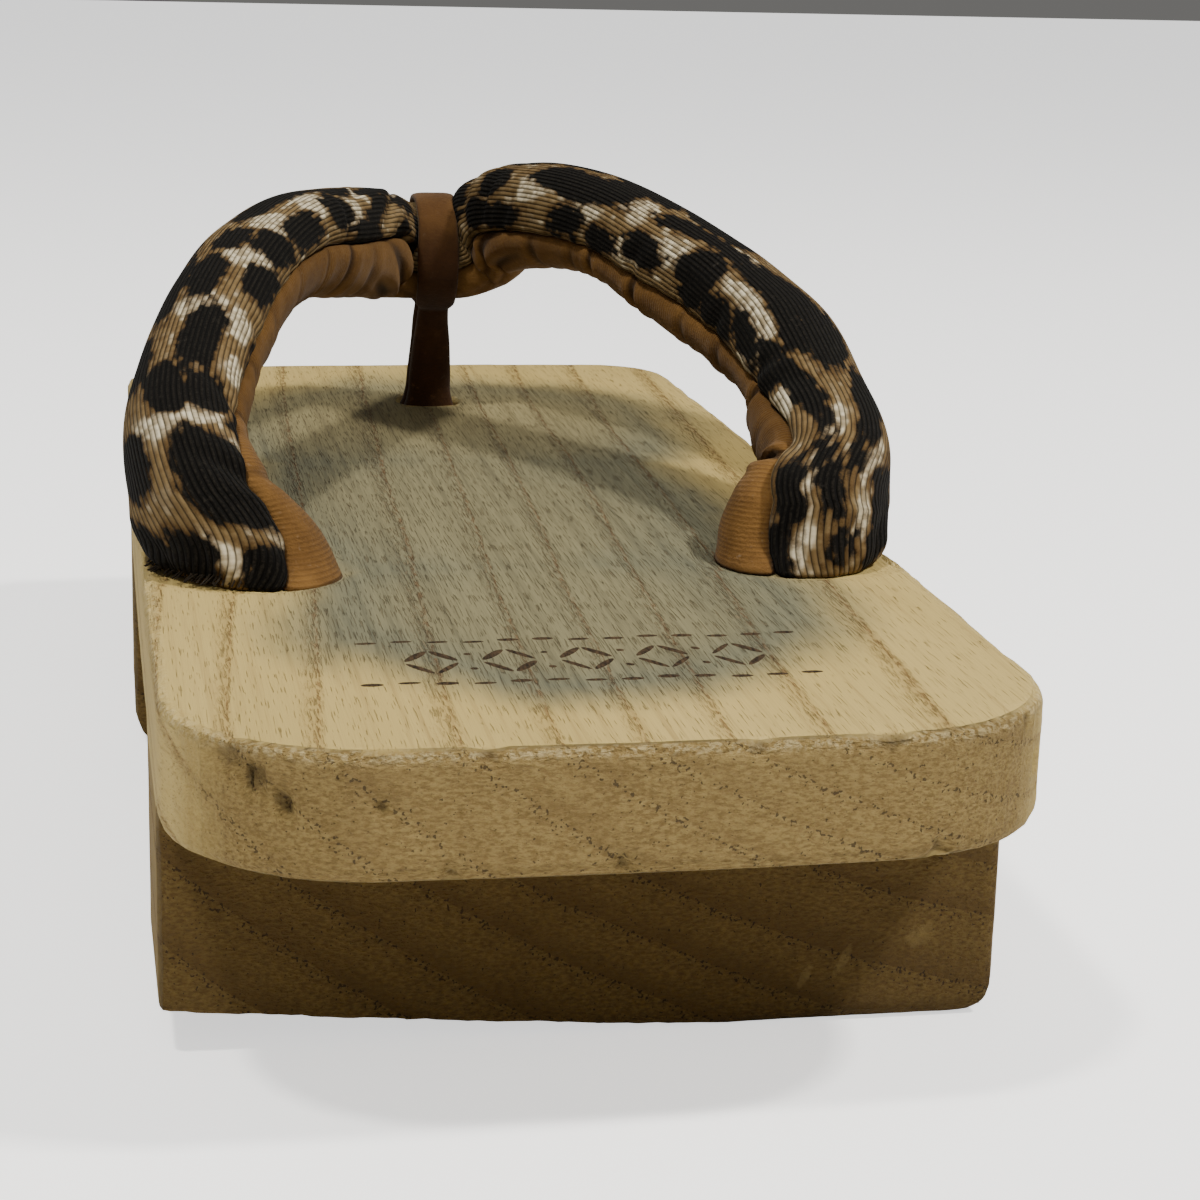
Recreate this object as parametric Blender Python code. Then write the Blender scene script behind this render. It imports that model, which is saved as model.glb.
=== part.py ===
"""A geta: a one-piece paulownia base on two teeth, with a padded V strap.

Metres, +Z up. The toe points along +Y and the origin is on the floor, at the
middle of the footprint. It is the right-hand sandal of its pair.
"""

import math

import bmesh
import bpy
from mathutils import Vector

# Base: deck and teeth are carved from one block
BASE_LENGTH = 0.2345
HEEL_WIDTH = 0.0992
TOE_WIDTH = 0.0982
SIDE_BOW = 0.0009
END_BOW = 0.0018
DECK_HEIGHT = 0.0450
DECK_THICKNESS = 0.0145
HEEL_CORNER_RADIUS = 0.0210
TOE_CORNER_RADIUS = 0.0125
ARRIS = 0.0013

# Teeth: the rear one is worn down towards its inner end
HEEL_OVERHANG = 0.0290
REAR_TOOTH_LENGTH = 0.0300
TOE_OVERHANG = 0.0580
FRONT_TOOTH_LENGTH = 0.0300
TOOTH_ROOT_RADIUS = 0.0030
TOOTH_CORNER_WEAR = 0.0035
INNER_WEAR_DEPTH = 0.0056
INNER_WEAR_LENGTH = 0.0740
INNER_WEAR_CURVE = 1.3

# Holes through the deck
REAR_HOLE_DIAMETER = 0.0100
FRONT_HOLE_DIAMETER = 0.0098
HOLE_RIM = 0.0008
REAR_HOLE_SPACING = 0.0745
REAR_HOLE_FROM_HEEL = 0.0785
FRONT_HOLE_FROM_TOE = 0.0378
FRONT_HOLE_SIDE = 0.0016

# Strap: a padded tube from one rear hole, over the foot, to the other
STRAP_TALL = 0.0178
STRAP_DEEP = 0.0164
STRAP_SPAN = 0.1050
STRAP_RISE = 0.0343
STRAP_SETBACK = 0.0048
SECTION_POWER = 2.3
LINING_THICKNESS = 0.0012
LINING_SPREAD = math.radians(70)
SEAM_GAP = 0.0005
STRAP_RINGS = 64
SEAT_RINGS = 7
COVER_STEPS = 14
LINING_STEPS = 8

# Toe band: a folded strip over the front of the strap, down the front hole
BAND_WIDTH = 0.0068
BAND_THICKNESS = 0.0022
LEG_WIDTH = 0.0064
LEG_THICKNESS = 0.0033
CROTCH_ROOM = 0.0023
BROW_ROOM = 0.0010
BAND_RINGS = 44

# Tie cords: they hold the strap under the deck
CORD_DIAMETER = 0.0062
KNOT_DIAMETER = 0.0165
KNOT_HEIGHT = 0.0090
KNOT_ROUNDNESS = 0.5
TAIL_DIAMETER = 0.0034
TAIL_LENGTH = 0.0110

# Clearance between pieces that touch
GAP = 0.0003
# How far a cutter runs past what it cuts
PAST = 0.0040

HALF_LENGTH = BASE_LENGTH / 2
UNDERSIDE = DECK_HEIGHT - DECK_THICKNESS
REAR_HOLE_Y = REAR_HOLE_FROM_HEEL - HALF_LENGTH
FRONT_HOLE_Y = HALF_LENGTH - FRONT_HOLE_FROM_TOE
JUNCTION_Y = FRONT_HOLE_Y - STRAP_SETBACK
STRAP_REACH = JUNCTION_Y - REAR_HOLE_Y
STRAP_BULGE = (STRAP_SPAN - REAR_HOLE_SPACING - STRAP_DEEP) / 2

# The strap's course from a rear hole to the junction, a row for each bend.
# side: share of the half hole spacing, from the front hole's line outwards
# bulge: share of the strap's bulge beyond the holes
# ahead: share of the reach from rear holes to junction
# rise: share of the strap's rise above the deck, to its middle line
# tall, deep: shares of the section's two sizes
# turn: degrees that the lining faces down from straight inwards
COLUMNS = ("side", "bulge", "ahead", "rise", "tall", "deep", "turn")
RIGHT_STRAP = (
    (1.00, 0.00, 0.008, 0.00, 1.00, 1.42, -12),
    (1.00, 0.42, 0.045, 0.17, 0.99, 1.12, 4),
    (1.00, 0.90, 0.105, 0.30, 0.98, 1.04, 22),
    (1.00, 1.00, 0.200, 0.43, 0.98, 1.00, 50),
    (0.98, 0.98, 0.325, 0.60, 1.00, 1.00, 68),
    (0.90, 0.84, 0.455, 0.745, 0.96, 0.98, 76),
    (0.76, 0.68, 0.580, 0.87, 0.92, 0.98, 80),
    (0.64, 0.46, 0.695, 0.965, 0.92, 0.98, 82),
    (0.48, 0.26, 0.800, 1.00, 0.96, 0.96, 84),
    (0.31, 0.12, 0.930, 0.95, 0.98, 0.88, 84),
    (0.230, 0.02, 0.978, 0.840, 0.97, 0.78, 82),
    (0.13, 0.00, 0.992, 0.770, 0.90, 0.74, 80),
)
JUNCTION = ((0.00, 0.00, 1.000, 0.765, 0.90, 0.72, 76),)
LEFT_STRAP = (
    (0.98, 0.00, 0.006, 0.00, 1.06, 1.28, -8),
    (1.00, 0.62, 0.058, 0.22, 1.01, 1.08, 4),
    (1.00, 0.90, 0.150, 0.375, 0.97, 1.02, 28),
    (0.99, 0.74, 0.250, 0.515, 0.97, 1.00, 48),
    (0.92, 0.52, 0.380, 0.705, 0.96, 1.00, 52),
    (0.81, 0.34, 0.515, 0.850, 0.92, 0.96, 54),
    (0.67, 0.20, 0.640, 0.925, 0.92, 0.94, 62),
    (0.51, 0.10, 0.755, 0.905, 0.98, 0.94, 72),
    (0.35, 0.02, 0.890, 0.855, 1.01, 0.90, 79),
    (0.235, 0.00, 0.968, 0.802, 0.98, 0.80, 82),
    (0.135, 0.00, 0.991, 0.770, 0.90, 0.74, 80),
)


def material(name, colour, roughness):
    """A Principled material of one colour."""
    made = bpy.data.materials.new(name)
    made.use_nodes = True
    made.diffuse_color = (*colour, 1.0)
    shader = made.node_tree.nodes["Principled BSDF"]
    shader.inputs["Base Color"].default_value = (*colour, 1.0)
    shader.inputs["Roughness"].default_value = roughness
    shader.inputs["Metallic"].default_value = 0.0
    return made


def solid(name, mesh_builder, surface):
    """Link a bmesh as an object, its faces pointing out."""
    bmesh.ops.recalc_face_normals(mesh_builder, faces=mesh_builder.faces)
    mesh = bpy.data.meshes.new(name)
    mesh_builder.to_mesh(mesh)
    mesh_builder.free()
    if surface:
        mesh.materials.append(surface)
    made = bpy.data.objects.new(name, mesh)
    bpy.context.scene.collection.objects.link(made)
    return made


def cutter(made):
    """Keep an object out of the part: it only cuts or bounds another."""
    made.hide_render = True
    made.display_type = "WIRE"
    return made


def boolean(target, tool, operation):
    """Cut or join another mesh with the exact solver."""
    step = target.modifiers.new(f"{operation.lower()} {tool.name}", "BOOLEAN")
    step.operation = operation
    step.solver = "EXACT"
    step.object = tool


def loft(rings):
    """Skin closed rings of equal point count and cap both ends."""
    made = bmesh.new()
    rows = [[made.verts.new(point) for point in ring] for ring in rings]
    count = len(rows[0])
    for lower, upper in zip(rows, rows[1:]):
        for i in range(count):
            j = (i + 1) % count
            made.faces.new((lower[i], lower[j], upper[j], upper[i]))
    made.faces.new(list(reversed(rows[0])))
    made.faces.new(rows[-1])
    return made


def turned(name, profile, centre, sides, surface=None):
    """A solid of revolution about a vertical line, from (radius, z) pairs."""
    rings = []
    for radius, z in profile:
        angles = (math.tau * k / sides for k in range(sides))
        rings.append([(centre[0] + radius * math.cos(a), centre[1] + radius * math.sin(a), z)
                      for a in angles])
    return solid(name, loft(rings), surface)


def arc(centre, radius, start, end, steps):
    """Points on an arc between two angles in degrees."""
    points = []
    for k in range(steps + 1):
        angle = math.radians(start + (end - start) * k / steps)
        points.append((centre[0] + radius * math.cos(angle), centre[1] + radius * math.sin(angle)))
    return points


def between(start, end, steps):
    """Points inside a straight run, without its ends."""
    shares = [k / steps for k in range(1, steps)]
    return [(start[0] + (end[0] - start[0]) * s, start[1] + (end[1] - start[1]) * s) for s in shares]


def catmull_rom(values, place):
    """A smooth value through equally spaced rows, at a place from 0 to rows - 1."""
    last = len(values) - 1
    k = min(int(place), last - 1)
    t = place - k
    here, ahead = values[k], values[k + 1]
    before = values[k - 1] if k > 0 else 2 * here - ahead
    after = values[k + 2] if k + 2 <= last else 2 * ahead - here
    slope_in = (ahead - before) / 2
    slope_out = (after - here) / 2
    return ((2 * t**3 - 3 * t**2 + 1) * here + (t**3 - 2 * t**2 + t) * slope_in
            + (3 * t**2 - 2 * t**3) * ahead + (t**3 - t**2) * slope_out)


def even_places(points, count, fine=16):
    """Places along a smooth line through points, evenly spaced by length."""
    steps = (len(points) - 1) * fine
    track = [catmull_rom(points, k / fine) for k in range(steps + 1)]
    run = [0.0]
    for a, b in zip(track, track[1:]):
        run.append(run[-1] + (b - a).length)
    places = []
    k = 0
    for n in range(count):
        goal = run[-1] * n / (count - 1)
        while k < steps - 1 and run[k + 1] < goal:
            k += 1
        places.append((k + (goal - run[k]) / (run[k + 1] - run[k])) / fine)
    return places


# Base

def plan_outline():
    """The deck from above: round corners, and sides and ends that bow a little."""
    heel = HEEL_WIDTH / 2 - HEEL_CORNER_RADIUS
    toe = TOE_WIDTH / 2 - TOE_CORNER_RADIUS
    back = -HALF_LENGTH + HEEL_CORNER_RADIUS
    front = HALF_LENGTH - TOE_CORNER_RADIUS
    right_side = between((HEEL_WIDTH / 2, back), (TOE_WIDTH / 2, front), 6)
    left_side = [(-x, y) for x, y in reversed(right_side)]
    square = arc((heel, back), HEEL_CORNER_RADIUS, -90, 0, 10) + right_side
    square += arc((toe, front), TOE_CORNER_RADIUS, 0, 90, 8)
    square += between((toe, HALF_LENGTH), (-toe, HALF_LENGTH), 4)
    square += arc((-toe, front), TOE_CORNER_RADIUS, 90, 180, 8) + left_side
    square += arc((-heel, back), HEEL_CORNER_RADIUS, 180, 270, 10)
    square += between((-heel, -HALF_LENGTH), (heel, -HALF_LENGTH), 4)
    outline = []
    for x, y in square:
        along = (y + HALF_LENGTH) / BASE_LENGTH
        half = HEEL_WIDTH / 2 + (TOE_WIDTH - HEEL_WIDTH) / 2 * along
        wider = 1 + SIDE_BOW * 4 * along * (1 - along) / half
        shorter = 1 - END_BOW * (x / half)**2 / HALF_LENGTH
        outline.append((x * wider, y * shorter))
    return outline


def side_outline():
    """The base from its side as (y, z), anticlockwise from the heel."""
    root = TOOTH_ROOT_RADIUS
    rear_back = -HALF_LENGTH + HEEL_OVERHANG
    front_front = HALF_LENGTH - TOE_OVERHANG
    outline = [(-HALF_LENGTH - PAST, UNDERSIDE)]
    for back, front in ((rear_back, rear_back + REAR_TOOTH_LENGTH),
                        (front_front - FRONT_TOOTH_LENGTH, front_front)):
        outline += arc((back - root, UNDERSIDE - root), root, 90, 0, 4)
        outline += [(back, 0), (front, 0)]
        outline += arc((front + root, UNDERSIDE - root), root, 180, 90, 4)
    outline += [(HALF_LENGTH + PAST, UNDERSIDE), (HALF_LENGTH + PAST, DECK_HEIGHT)]
    outline += [(-HALF_LENGTH - PAST, DECK_HEIGHT)]
    return outline


def base_blank():
    """The side outline run across the width."""
    half = HEEL_WIDTH / 2 + SIDE_BOW + PAST
    return loft([[(x, y, z) for y, z in side_outline()] for x in (-half, half)])


def hole_cutter(name, x, y, diameter):
    """A round hole through the deck, eased at both rims."""
    r = diameter / 2
    profile = [(r + PAST, UNDERSIDE - PAST + HOLE_RIM), (r, UNDERSIDE + HOLE_RIM),
               (r, DECK_HEIGHT - HOLE_RIM), (r + PAST, DECK_HEIGHT + PAST - HOLE_RIM)]
    return cutter(turned(name, profile, (x, y), 24))


def corner_wear_cutter(name, side):
    """Rounds the lower side corner of both teeth, as walking does."""
    edge = HEEL_WIDTH / 2
    wear = TOOTH_CORNER_WEAR
    section = [(edge - wear * 1.6, -wear * 0.3), (edge - wear * 0.5, wear * 0.24),
               (edge - wear * 0.14, wear * 0.62), (edge + wear * 0.3, wear * 1.9), (edge + PAST, -PAST)]
    ends = (-HALF_LENGTH, HALF_LENGTH)
    return cutter(solid(name, loft([[(side * x, y, z) for x, z in section] for y in ends]), None))


def inner_wear_cutter():
    """Takes the rear tooth's sole down in a curve towards its inner end."""
    inner = -HEEL_WIDTH / 2
    section = [(inner - PAST, -PAST), (inner + INNER_WEAR_LENGTH, -PAST)]
    for share in (0.0, 0.25, 0.5, 0.75, 1.0):
        x = inner + INNER_WEAR_LENGTH * (1 - share)
        section.append((x, INNER_WEAR_DEPTH * share**INNER_WEAR_CURVE))
    section.append((inner - PAST, INNER_WEAR_DEPTH * 1.1))
    ends = (-HALF_LENGTH, -HALF_LENGTH + HEEL_OVERHANG + REAR_TOOTH_LENGTH + TOOTH_ROOT_RADIUS)
    return cutter(solid("inner wear", loft([[(x, y, z) for x, z in section] for y in ends]), None))


def build_base(wood):
    base = solid("wooden_base", base_blank(), wood)
    heights = (-PAST, DECK_HEIGHT + PAST)
    plan = solid("plan", loft([[(x, y, z) for x, y in plan_outline()] for z in heights]), None)
    boolean(base, cutter(plan), "INTERSECT")
    easing = base.modifiers.new("arris", "BEVEL")
    easing.width = ARRIS
    easing.segments = 2
    easing.limit_method = "ANGLE"
    easing.angle_limit = math.radians(50)
    for side, name in ((-1, "left"), (1, "right")):
        boolean(base, corner_wear_cutter(f"{name} corner wear", side), "DIFFERENCE")
        hole = hole_cutter(f"{name} rear hole", side * REAR_HOLE_SPACING / 2, REAR_HOLE_Y, REAR_HOLE_DIAMETER)
        boolean(base, hole, "DIFFERENCE")
    boolean(base, inner_wear_cutter(), "DIFFERENCE")
    front = hole_cutter("front hole", FRONT_HOLE_SIDE, FRONT_HOLE_Y, FRONT_HOLE_DIAMETER)
    boolean(base, front, "DIFFERENCE")


# Strap

def strap_rows():
    """Every row of the strap from right hole to left hole, as real sizes."""
    chain = [(1, row) for row in RIGHT_STRAP + JUNCTION]
    chain += [(-1, row) for row in reversed(LEFT_STRAP)]
    rows = []
    for side, values in chain:
        row = dict(zip(COLUMNS, values))
        half = REAR_HOLE_SPACING / 2 - side * FRONT_HOLE_SIDE
        rows.append({
            "centre": Vector((
                FRONT_HOLE_SIDE + side * (row["side"] * half + row["bulge"] * STRAP_BULGE),
                REAR_HOLE_Y + row["ahead"] * STRAP_REACH,
                DECK_HEIGHT + GAP + row["rise"] * STRAP_RISE,
            )),
            "tall": row["tall"] * STRAP_TALL / 2,
            "deep": row["deep"] * STRAP_DEEP / 2,
            "turn": math.radians(row["turn"]),
        })
    return rows


def strap_stations():
    """Rings' centres, directions and sizes, evenly spaced along the strap."""
    rows = strap_rows()
    centres = [row["centre"] for row in rows]
    places = even_places(centres, STRAP_RINGS)
    stations = []
    for place in places:
        step = 0.02
        low = max(place - step, 0)
        high = min(place + step, len(rows) - 1)
        along = (catmull_rom(centres, high) - catmull_rom(centres, low)).normalized()
        station = {"along": along}
        for key in ("centre", "tall", "deep", "turn"):
            station[key] = catmull_rom([row[key] for row in rows], place)
        stations.append(station)
    return stations


def strap_ring(station, share, angles_and_insets):
    """Points round one section; share turns its plane from square to level."""
    centre, along = station["centre"], station["along"]
    outward = Vector((along.y, -along.x, 0)).normalized()
    upward = along.cross(outward)
    if upward.z < 0:
        upward = -upward
    level = Vector((0, 0, 1)) if along.z > 0 else Vector((0, 0, -1))
    plane = along.lerp(level, share).normalized()
    ring = []
    for angle, inset in angles_and_insets:
        c, s = math.cos(angle), math.sin(angle)
        reach = (abs(c)**SECTION_POWER + abs(s)**SECTION_POWER)**(-1 / SECTION_POWER)
        across = -c * reach * (station["deep"] - inset)
        upright = -s * reach * (station["tall"] - inset)
        point = outward * across + upward * upright
        point -= along * (point.dot(plane) / along.dot(plane))
        ring.append(centre + point)
    return ring


def cover_section(turn):
    """The printed cover with its stuffing, recessed where the lining lies."""
    recess = LINING_THICKNESS + GAP
    outer = math.tau - 2 * LINING_SPREAD
    points = [(turn + LINING_SPREAD + outer * k / COVER_STEPS, 0.0) for k in range(COVER_STEPS + 1)]
    points += [(turn - LINING_SPREAD + 2 * LINING_SPREAD * k / LINING_STEPS, recess)
               for k in range(LINING_STEPS + 1)]
    return points


def lining_section(turn):
    """The lining: a strip of cloth in the cover's recess."""
    edge = LINING_SPREAD - 2 * SEAM_GAP / STRAP_DEEP
    outside = [(turn - edge + 2 * edge * k / LINING_STEPS, 0.0) for k in range(LINING_STEPS + 1)]
    inside = [(angle, LINING_THICKNESS) for angle, _ in reversed(outside)]
    return outside + inside


def build_strap(cover_cloth, lining_cloth):
    stations = strap_stations()
    last = len(stations) - 1
    for name, section, cloth in (("strap_cover", cover_section, cover_cloth),
                                 ("strap_lining", lining_section, lining_cloth)):
        rings = []
        for k, station in enumerate(stations):
            share = max(0.0, 1 - min(k, last - k) / SEAT_RINGS)
            rings.append(strap_ring(station, share, section(station["turn"])))
        made = solid(name, loft(rings), cloth)
        made.data.shade_smooth()
        made.data.set_sharp_from_angle(angle=math.radians(50))


# Toe band

def junction_size():
    """Half height and half depth of the strap where the band crosses it."""
    row = dict(zip(COLUMNS, JUNCTION[0]))
    return row["tall"] * STRAP_TALL / 2, row["deep"] * STRAP_DEEP / 2, row["rise"] * STRAP_RISE


def band_rows():
    """The band's middle line as (y, z, leg share): up a leg, over the strap, down."""
    tall, deep, rise = junction_size()
    middle = DECK_HEIGHT + GAP + rise
    room = GAP + BAND_THICKNESS / 2
    leg = (LEG_THICKNESS + GAP) / 2
    front = []
    for z, share in ((UNDERSIDE + GAP, 0.0), (DECK_HEIGHT, 0.0),
                     ((DECK_HEIGHT + middle - tall) / 2, 0.45), (middle - tall - 1.8 * room, 0.95)):
        front.append((FRONT_HOLE_Y - share * STRAP_SETBACK, z))
    rows = [(y + leg, z, 1.0) for y, z in front]
    for degrees in (-58, -30, 0, 30, 60, 90, 120, 150, 180, 210, 238):
        angle = math.radians(degrees)
        c, s = math.cos(angle), math.sin(angle)
        reach = (abs(c)**SECTION_POWER + abs(s)**SECTION_POWER)**(-1 / SECTION_POWER)
        across = deep + room + (CROTCH_ROOM if c < 0 else BROW_ROOM)
        upright = tall + room + BROW_ROOM
        rows.append((JUNCTION_Y + c * reach * across, middle + s * reach * upright, 0.0))
    rows += [(y - leg, z, 1.0) for y, z in reversed(front)]
    return rows


def build_toe_band(cloth):
    rows = band_rows()
    line = [Vector((FRONT_HOLE_SIDE, y, z)) for y, z, _ in rows]
    legs = [row[2] for row in rows]
    sides = 12
    rings = []
    for place in even_places(line, BAND_RINGS):
        step = 0.02
        low = max(place - step, 0)
        high = min(place + step, len(rows) - 1)
        along = (catmull_rom(line, high) - catmull_rom(line, low)).normalized()
        if place in (0, len(rows) - 1):
            along = Vector((0, 0, math.copysign(1, along.z)))
        normal = Vector((0, -along.z, along.y))
        leg = min(max(catmull_rom(legs, place), 0.0), 1.0)
        width = (BAND_WIDTH + leg * (LEG_WIDTH - BAND_WIDTH)) / 2
        thickness = (BAND_THICKNESS + leg * (LEG_THICKNESS - BAND_THICKNESS)) / 2
        ring = []
        for k in range(sides):
            angle = math.tau * (k + 0.5) / sides
            c, s = math.cos(angle), math.sin(angle)
            reach = (abs(c)**3 + abs(s)**3)**(-1 / 3)
            ring.append(catmull_rom(line, place) + Vector((1, 0, 0)) * (c * reach * width)
                        + normal * (s * reach * thickness))
        rings.append(ring)
    made = solid("toe_band", loft(rings), cloth)
    made.data.shade_smooth()
    made.data.set_sharp_from_angle(angle=math.radians(50))


# Tie cords

def knot_profile(top):
    """A flattened ball with its top at a height, as (radius, z) pairs."""
    middle = top - KNOT_HEIGHT / 2
    profile = []
    for degrees in (-84, -60, -35, -12, 12, 35, 60, 84):
        angle = math.radians(degrees)
        radius = KNOT_DIAMETER / 2 * math.cos(angle)**KNOT_ROUNDNESS
        rise = math.copysign(abs(math.sin(angle))**KNOT_ROUNDNESS, angle)
        profile.append((radius, middle + KNOT_HEIGHT / 2 * rise))
    return profile


def build_tie_cord(name, x, y, shank_top, tail_turn, cord):
    """A knot under a hole with two short tails, and a shank up into the hole."""
    knot_top = UNDERSIDE - GAP
    profile = knot_profile(knot_top)
    if shank_top:
        shank = CORD_DIAMETER / 2
        profile[-1] = (shank, profile[-1][1])
        profile.append((shank, shank_top))
    knot = turned(name, profile, (x, y), 16, cord)
    up = Vector((0, 0, 1))
    centre = Vector((x, y, knot_top - KNOT_HEIGHT / 2))
    for turn in (tail_turn, tail_turn + 140):
        heading = Vector((math.cos(math.radians(turn)), math.sin(math.radians(turn)), 0))
        across = Vector((-heading.y, heading.x, 0))
        rings = []
        for reach, drop in ((0.0, 0.0), (0.35, 0.0), (0.65, 0.02), (0.85, 0.12)):
            run = KNOT_DIAMETER / 2 * 0.6 + reach * TAIL_LENGTH
            middle = centre + heading * run - up * (drop * TAIL_LENGTH)
            rings.append([middle + (across * math.cos(a) + up * math.sin(a)) * TAIL_DIAMETER / 2
                          for a in (math.tau * k / 8 for k in range(8))])
        tail = cutter(solid(f"{name} tail {turn}", loft(rings), None))
        boolean(knot, tail, "UNION")


def main():
    for old in list(bpy.data.objects):
        bpy.data.objects.remove(old, do_unlink=True)
    wood = material("paulownia wood", (0.62, 0.50, 0.33), 0.7)
    print_cloth = material("printed ribbed cloth", (0.06, 0.05, 0.04), 0.8)
    lining_cloth = material("brown velveteen", (0.22, 0.10, 0.045), 0.9)
    band_cloth = material("dark velveteen", (0.13, 0.06, 0.03), 0.9)
    cord = material("hemp cord", (0.45, 0.36, 0.24), 0.85)
    build_base(wood)
    build_strap(print_cloth, lining_cloth)
    build_toe_band(band_cloth)
    shank_top = DECK_HEIGHT
    half = REAR_HOLE_SPACING / 2
    build_tie_cord("left_tie_cord", -half, REAR_HOLE_Y, shank_top, -120, cord)
    build_tie_cord("right_tie_cord", half, REAR_HOLE_Y, shank_top, 160, cord)
    build_tie_cord("front_tie_cord", FRONT_HOLE_SIDE, FRONT_HOLE_Y, None, 20, cord)


main()
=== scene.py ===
"""Looks of a worn geta: kiri wood base, padded print strap, velveteen lining and toe band.

The toe points along +Y and the camera stands behind the heel. Lengths are in metres.
"""
import math
import random

import bmesh
import bpy
import numpy as np
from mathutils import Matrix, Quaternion, Vector, noise


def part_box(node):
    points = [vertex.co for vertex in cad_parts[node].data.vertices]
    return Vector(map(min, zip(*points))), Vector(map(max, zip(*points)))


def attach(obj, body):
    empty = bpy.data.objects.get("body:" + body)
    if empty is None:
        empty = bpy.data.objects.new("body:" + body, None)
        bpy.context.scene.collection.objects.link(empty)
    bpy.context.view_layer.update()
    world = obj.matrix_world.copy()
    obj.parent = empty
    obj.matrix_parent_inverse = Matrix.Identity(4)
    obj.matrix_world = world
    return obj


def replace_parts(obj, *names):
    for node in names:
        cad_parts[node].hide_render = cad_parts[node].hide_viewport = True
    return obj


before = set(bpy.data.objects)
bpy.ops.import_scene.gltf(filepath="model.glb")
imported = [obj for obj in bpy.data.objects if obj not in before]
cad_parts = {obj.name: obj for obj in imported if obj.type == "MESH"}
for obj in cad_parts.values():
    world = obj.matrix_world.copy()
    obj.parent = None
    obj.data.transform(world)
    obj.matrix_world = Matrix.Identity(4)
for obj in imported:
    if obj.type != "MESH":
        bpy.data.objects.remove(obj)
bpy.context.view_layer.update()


# Camera: it stands where the photographer stood, low behind the heel and a little
# to the left. It is swung round to the one shoe by the least turn, so the shoe keeps
# the photo's angle and lean.
CAMERA_PLACE = (-0.0564, -0.3746, 0.1292)
AIM = (0.0056, -0.06, 0.0455)
ROLL = math.radians(1.52)
LENS = 80.0
SENSOR = 36.0


def show(name, data):
    """Adds an object to the scene."""
    made = bpy.data.objects.new(name, data)
    bpy.context.scene.collection.objects.link(made)
    return made


def point(made, place, aim, roll=0.0):
    """Stands a camera or lamp at a place and turns it to its aim."""
    made.location = place
    made.rotation_mode = "QUATERNION"
    heading = (Vector(aim) - Vector(place)).to_track_quat("-Z", "Y")
    made.rotation_quaternion = heading @ Quaternion((0, 0, 1), roll)


camera = show("camera", bpy.data.cameras.new("camera"))
camera.data.lens = LENS
camera.data.sensor_width = SENSOR
camera.data.clip_start = 0.01
point(camera, CAMERA_PLACE, AIM, ROLL)
bpy.context.scene.camera = camera


# Wooden base: deck and two teeth carved from one block of kiri, planed by hand.
# Its ring lines slant down to the right, so they run lengthwise along the deck.
# Feet have greyed the middle, and knocks have chipped the heel's edge.
PITH = (0.094, 0.187)
# Ring lines' distances from the pith, and how far the grain strays along the deck
RINGS = (0.12, 0.13, 0.1395, 0.147, 0.1534, 0.1593, 0.1645, 0.1692, 0.1742, 0.1807, 0.1897,
         0.1962, 0.2025, 0.2104, 0.217, 0.2248, 0.233, 0.24, 0.25)
GRAIN_DRIFT = 0.055
# Foot marks on the deck as middle x, y and half sizes
FOOT_PATCHES = ((0.0, -0.062, 0.036, 0.038), (0.0, -0.005, 0.038, 0.06), (0.002, 0.055, 0.042, 0.048))
CREAM = (0.4, 0.295, 0.095)
PALE = (0.56, 0.425, 0.165)
TAN = (0.33, 0.235, 0.085)
RING_BROWN = (0.27, 0.175, 0.06)
RED_BROWN = (0.17, 0.08, 0.03)
PORE_DARK = (0.085, 0.056, 0.026)
STAIN_LIGHT = (0.165, 0.16, 0.102)
STAIN_DARK = (0.088, 0.089, 0.062)
END_LIGHT = (0.42, 0.3, 0.11)
END_DARK = (0.25, 0.165, 0.056)
END_BAND = (0.215, 0.137, 0.046)
RIM_CREAM = (0.6, 0.48, 0.25)
# Multiplied into the teeth: partly the wood's darker tone, partly painted shade under the deck's overhang
TOOTH_TONE_AND_SHADE = (0.42, 0.365, 0.26)
# Pale rubs on the rear tooth as x, z and half sizes
RUBS = ((0.0261, 0.0059, 0.0007, 0.0016), (0.0308, 0.0078, 0.0007, 0.0021), (0.0402, 0.0105, 0.0018, 0.0015))
DECK_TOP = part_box("wooden_base")[1].z
DECK_UNDER = 0.0305
HALF_LENGTH = 0.11725
HALF_WIDTH = 0.0496
# Where the base is sliced finer for its wear, as axis, limits and step
HEEL_PART = -HALF_LENGTH + 0.008
SLICES = ((0, -HALF_WIDTH - 0.001, HALF_WIDTH + 0.001, 0.0012), (1, -HALF_LENGTH, HEEL_PART, 0.001),
          (1, HEEL_PART, HALF_LENGTH, 0.0034), (1, -0.056, -0.02, 0.0012),
          (2, 0.0, DECK_UNDER, 0.003), (2, DECK_UNDER, DECK_TOP, 0.001))
# The front hole and its rim as x, y and radius
TOE_HOLE = (0.0016, 0.0795, 0.009)
# Shallow dishes round the rear holes, where the knots pull the straps into the wood
DISHES = ((-0.0365, -0.0381, 0.0108, 0.0098), (0.0373, -0.0378, 0.0118, 0.0092))
DISH_DEPTH = 0.0007
BRUISE_DEPTH = 0.00042
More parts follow.
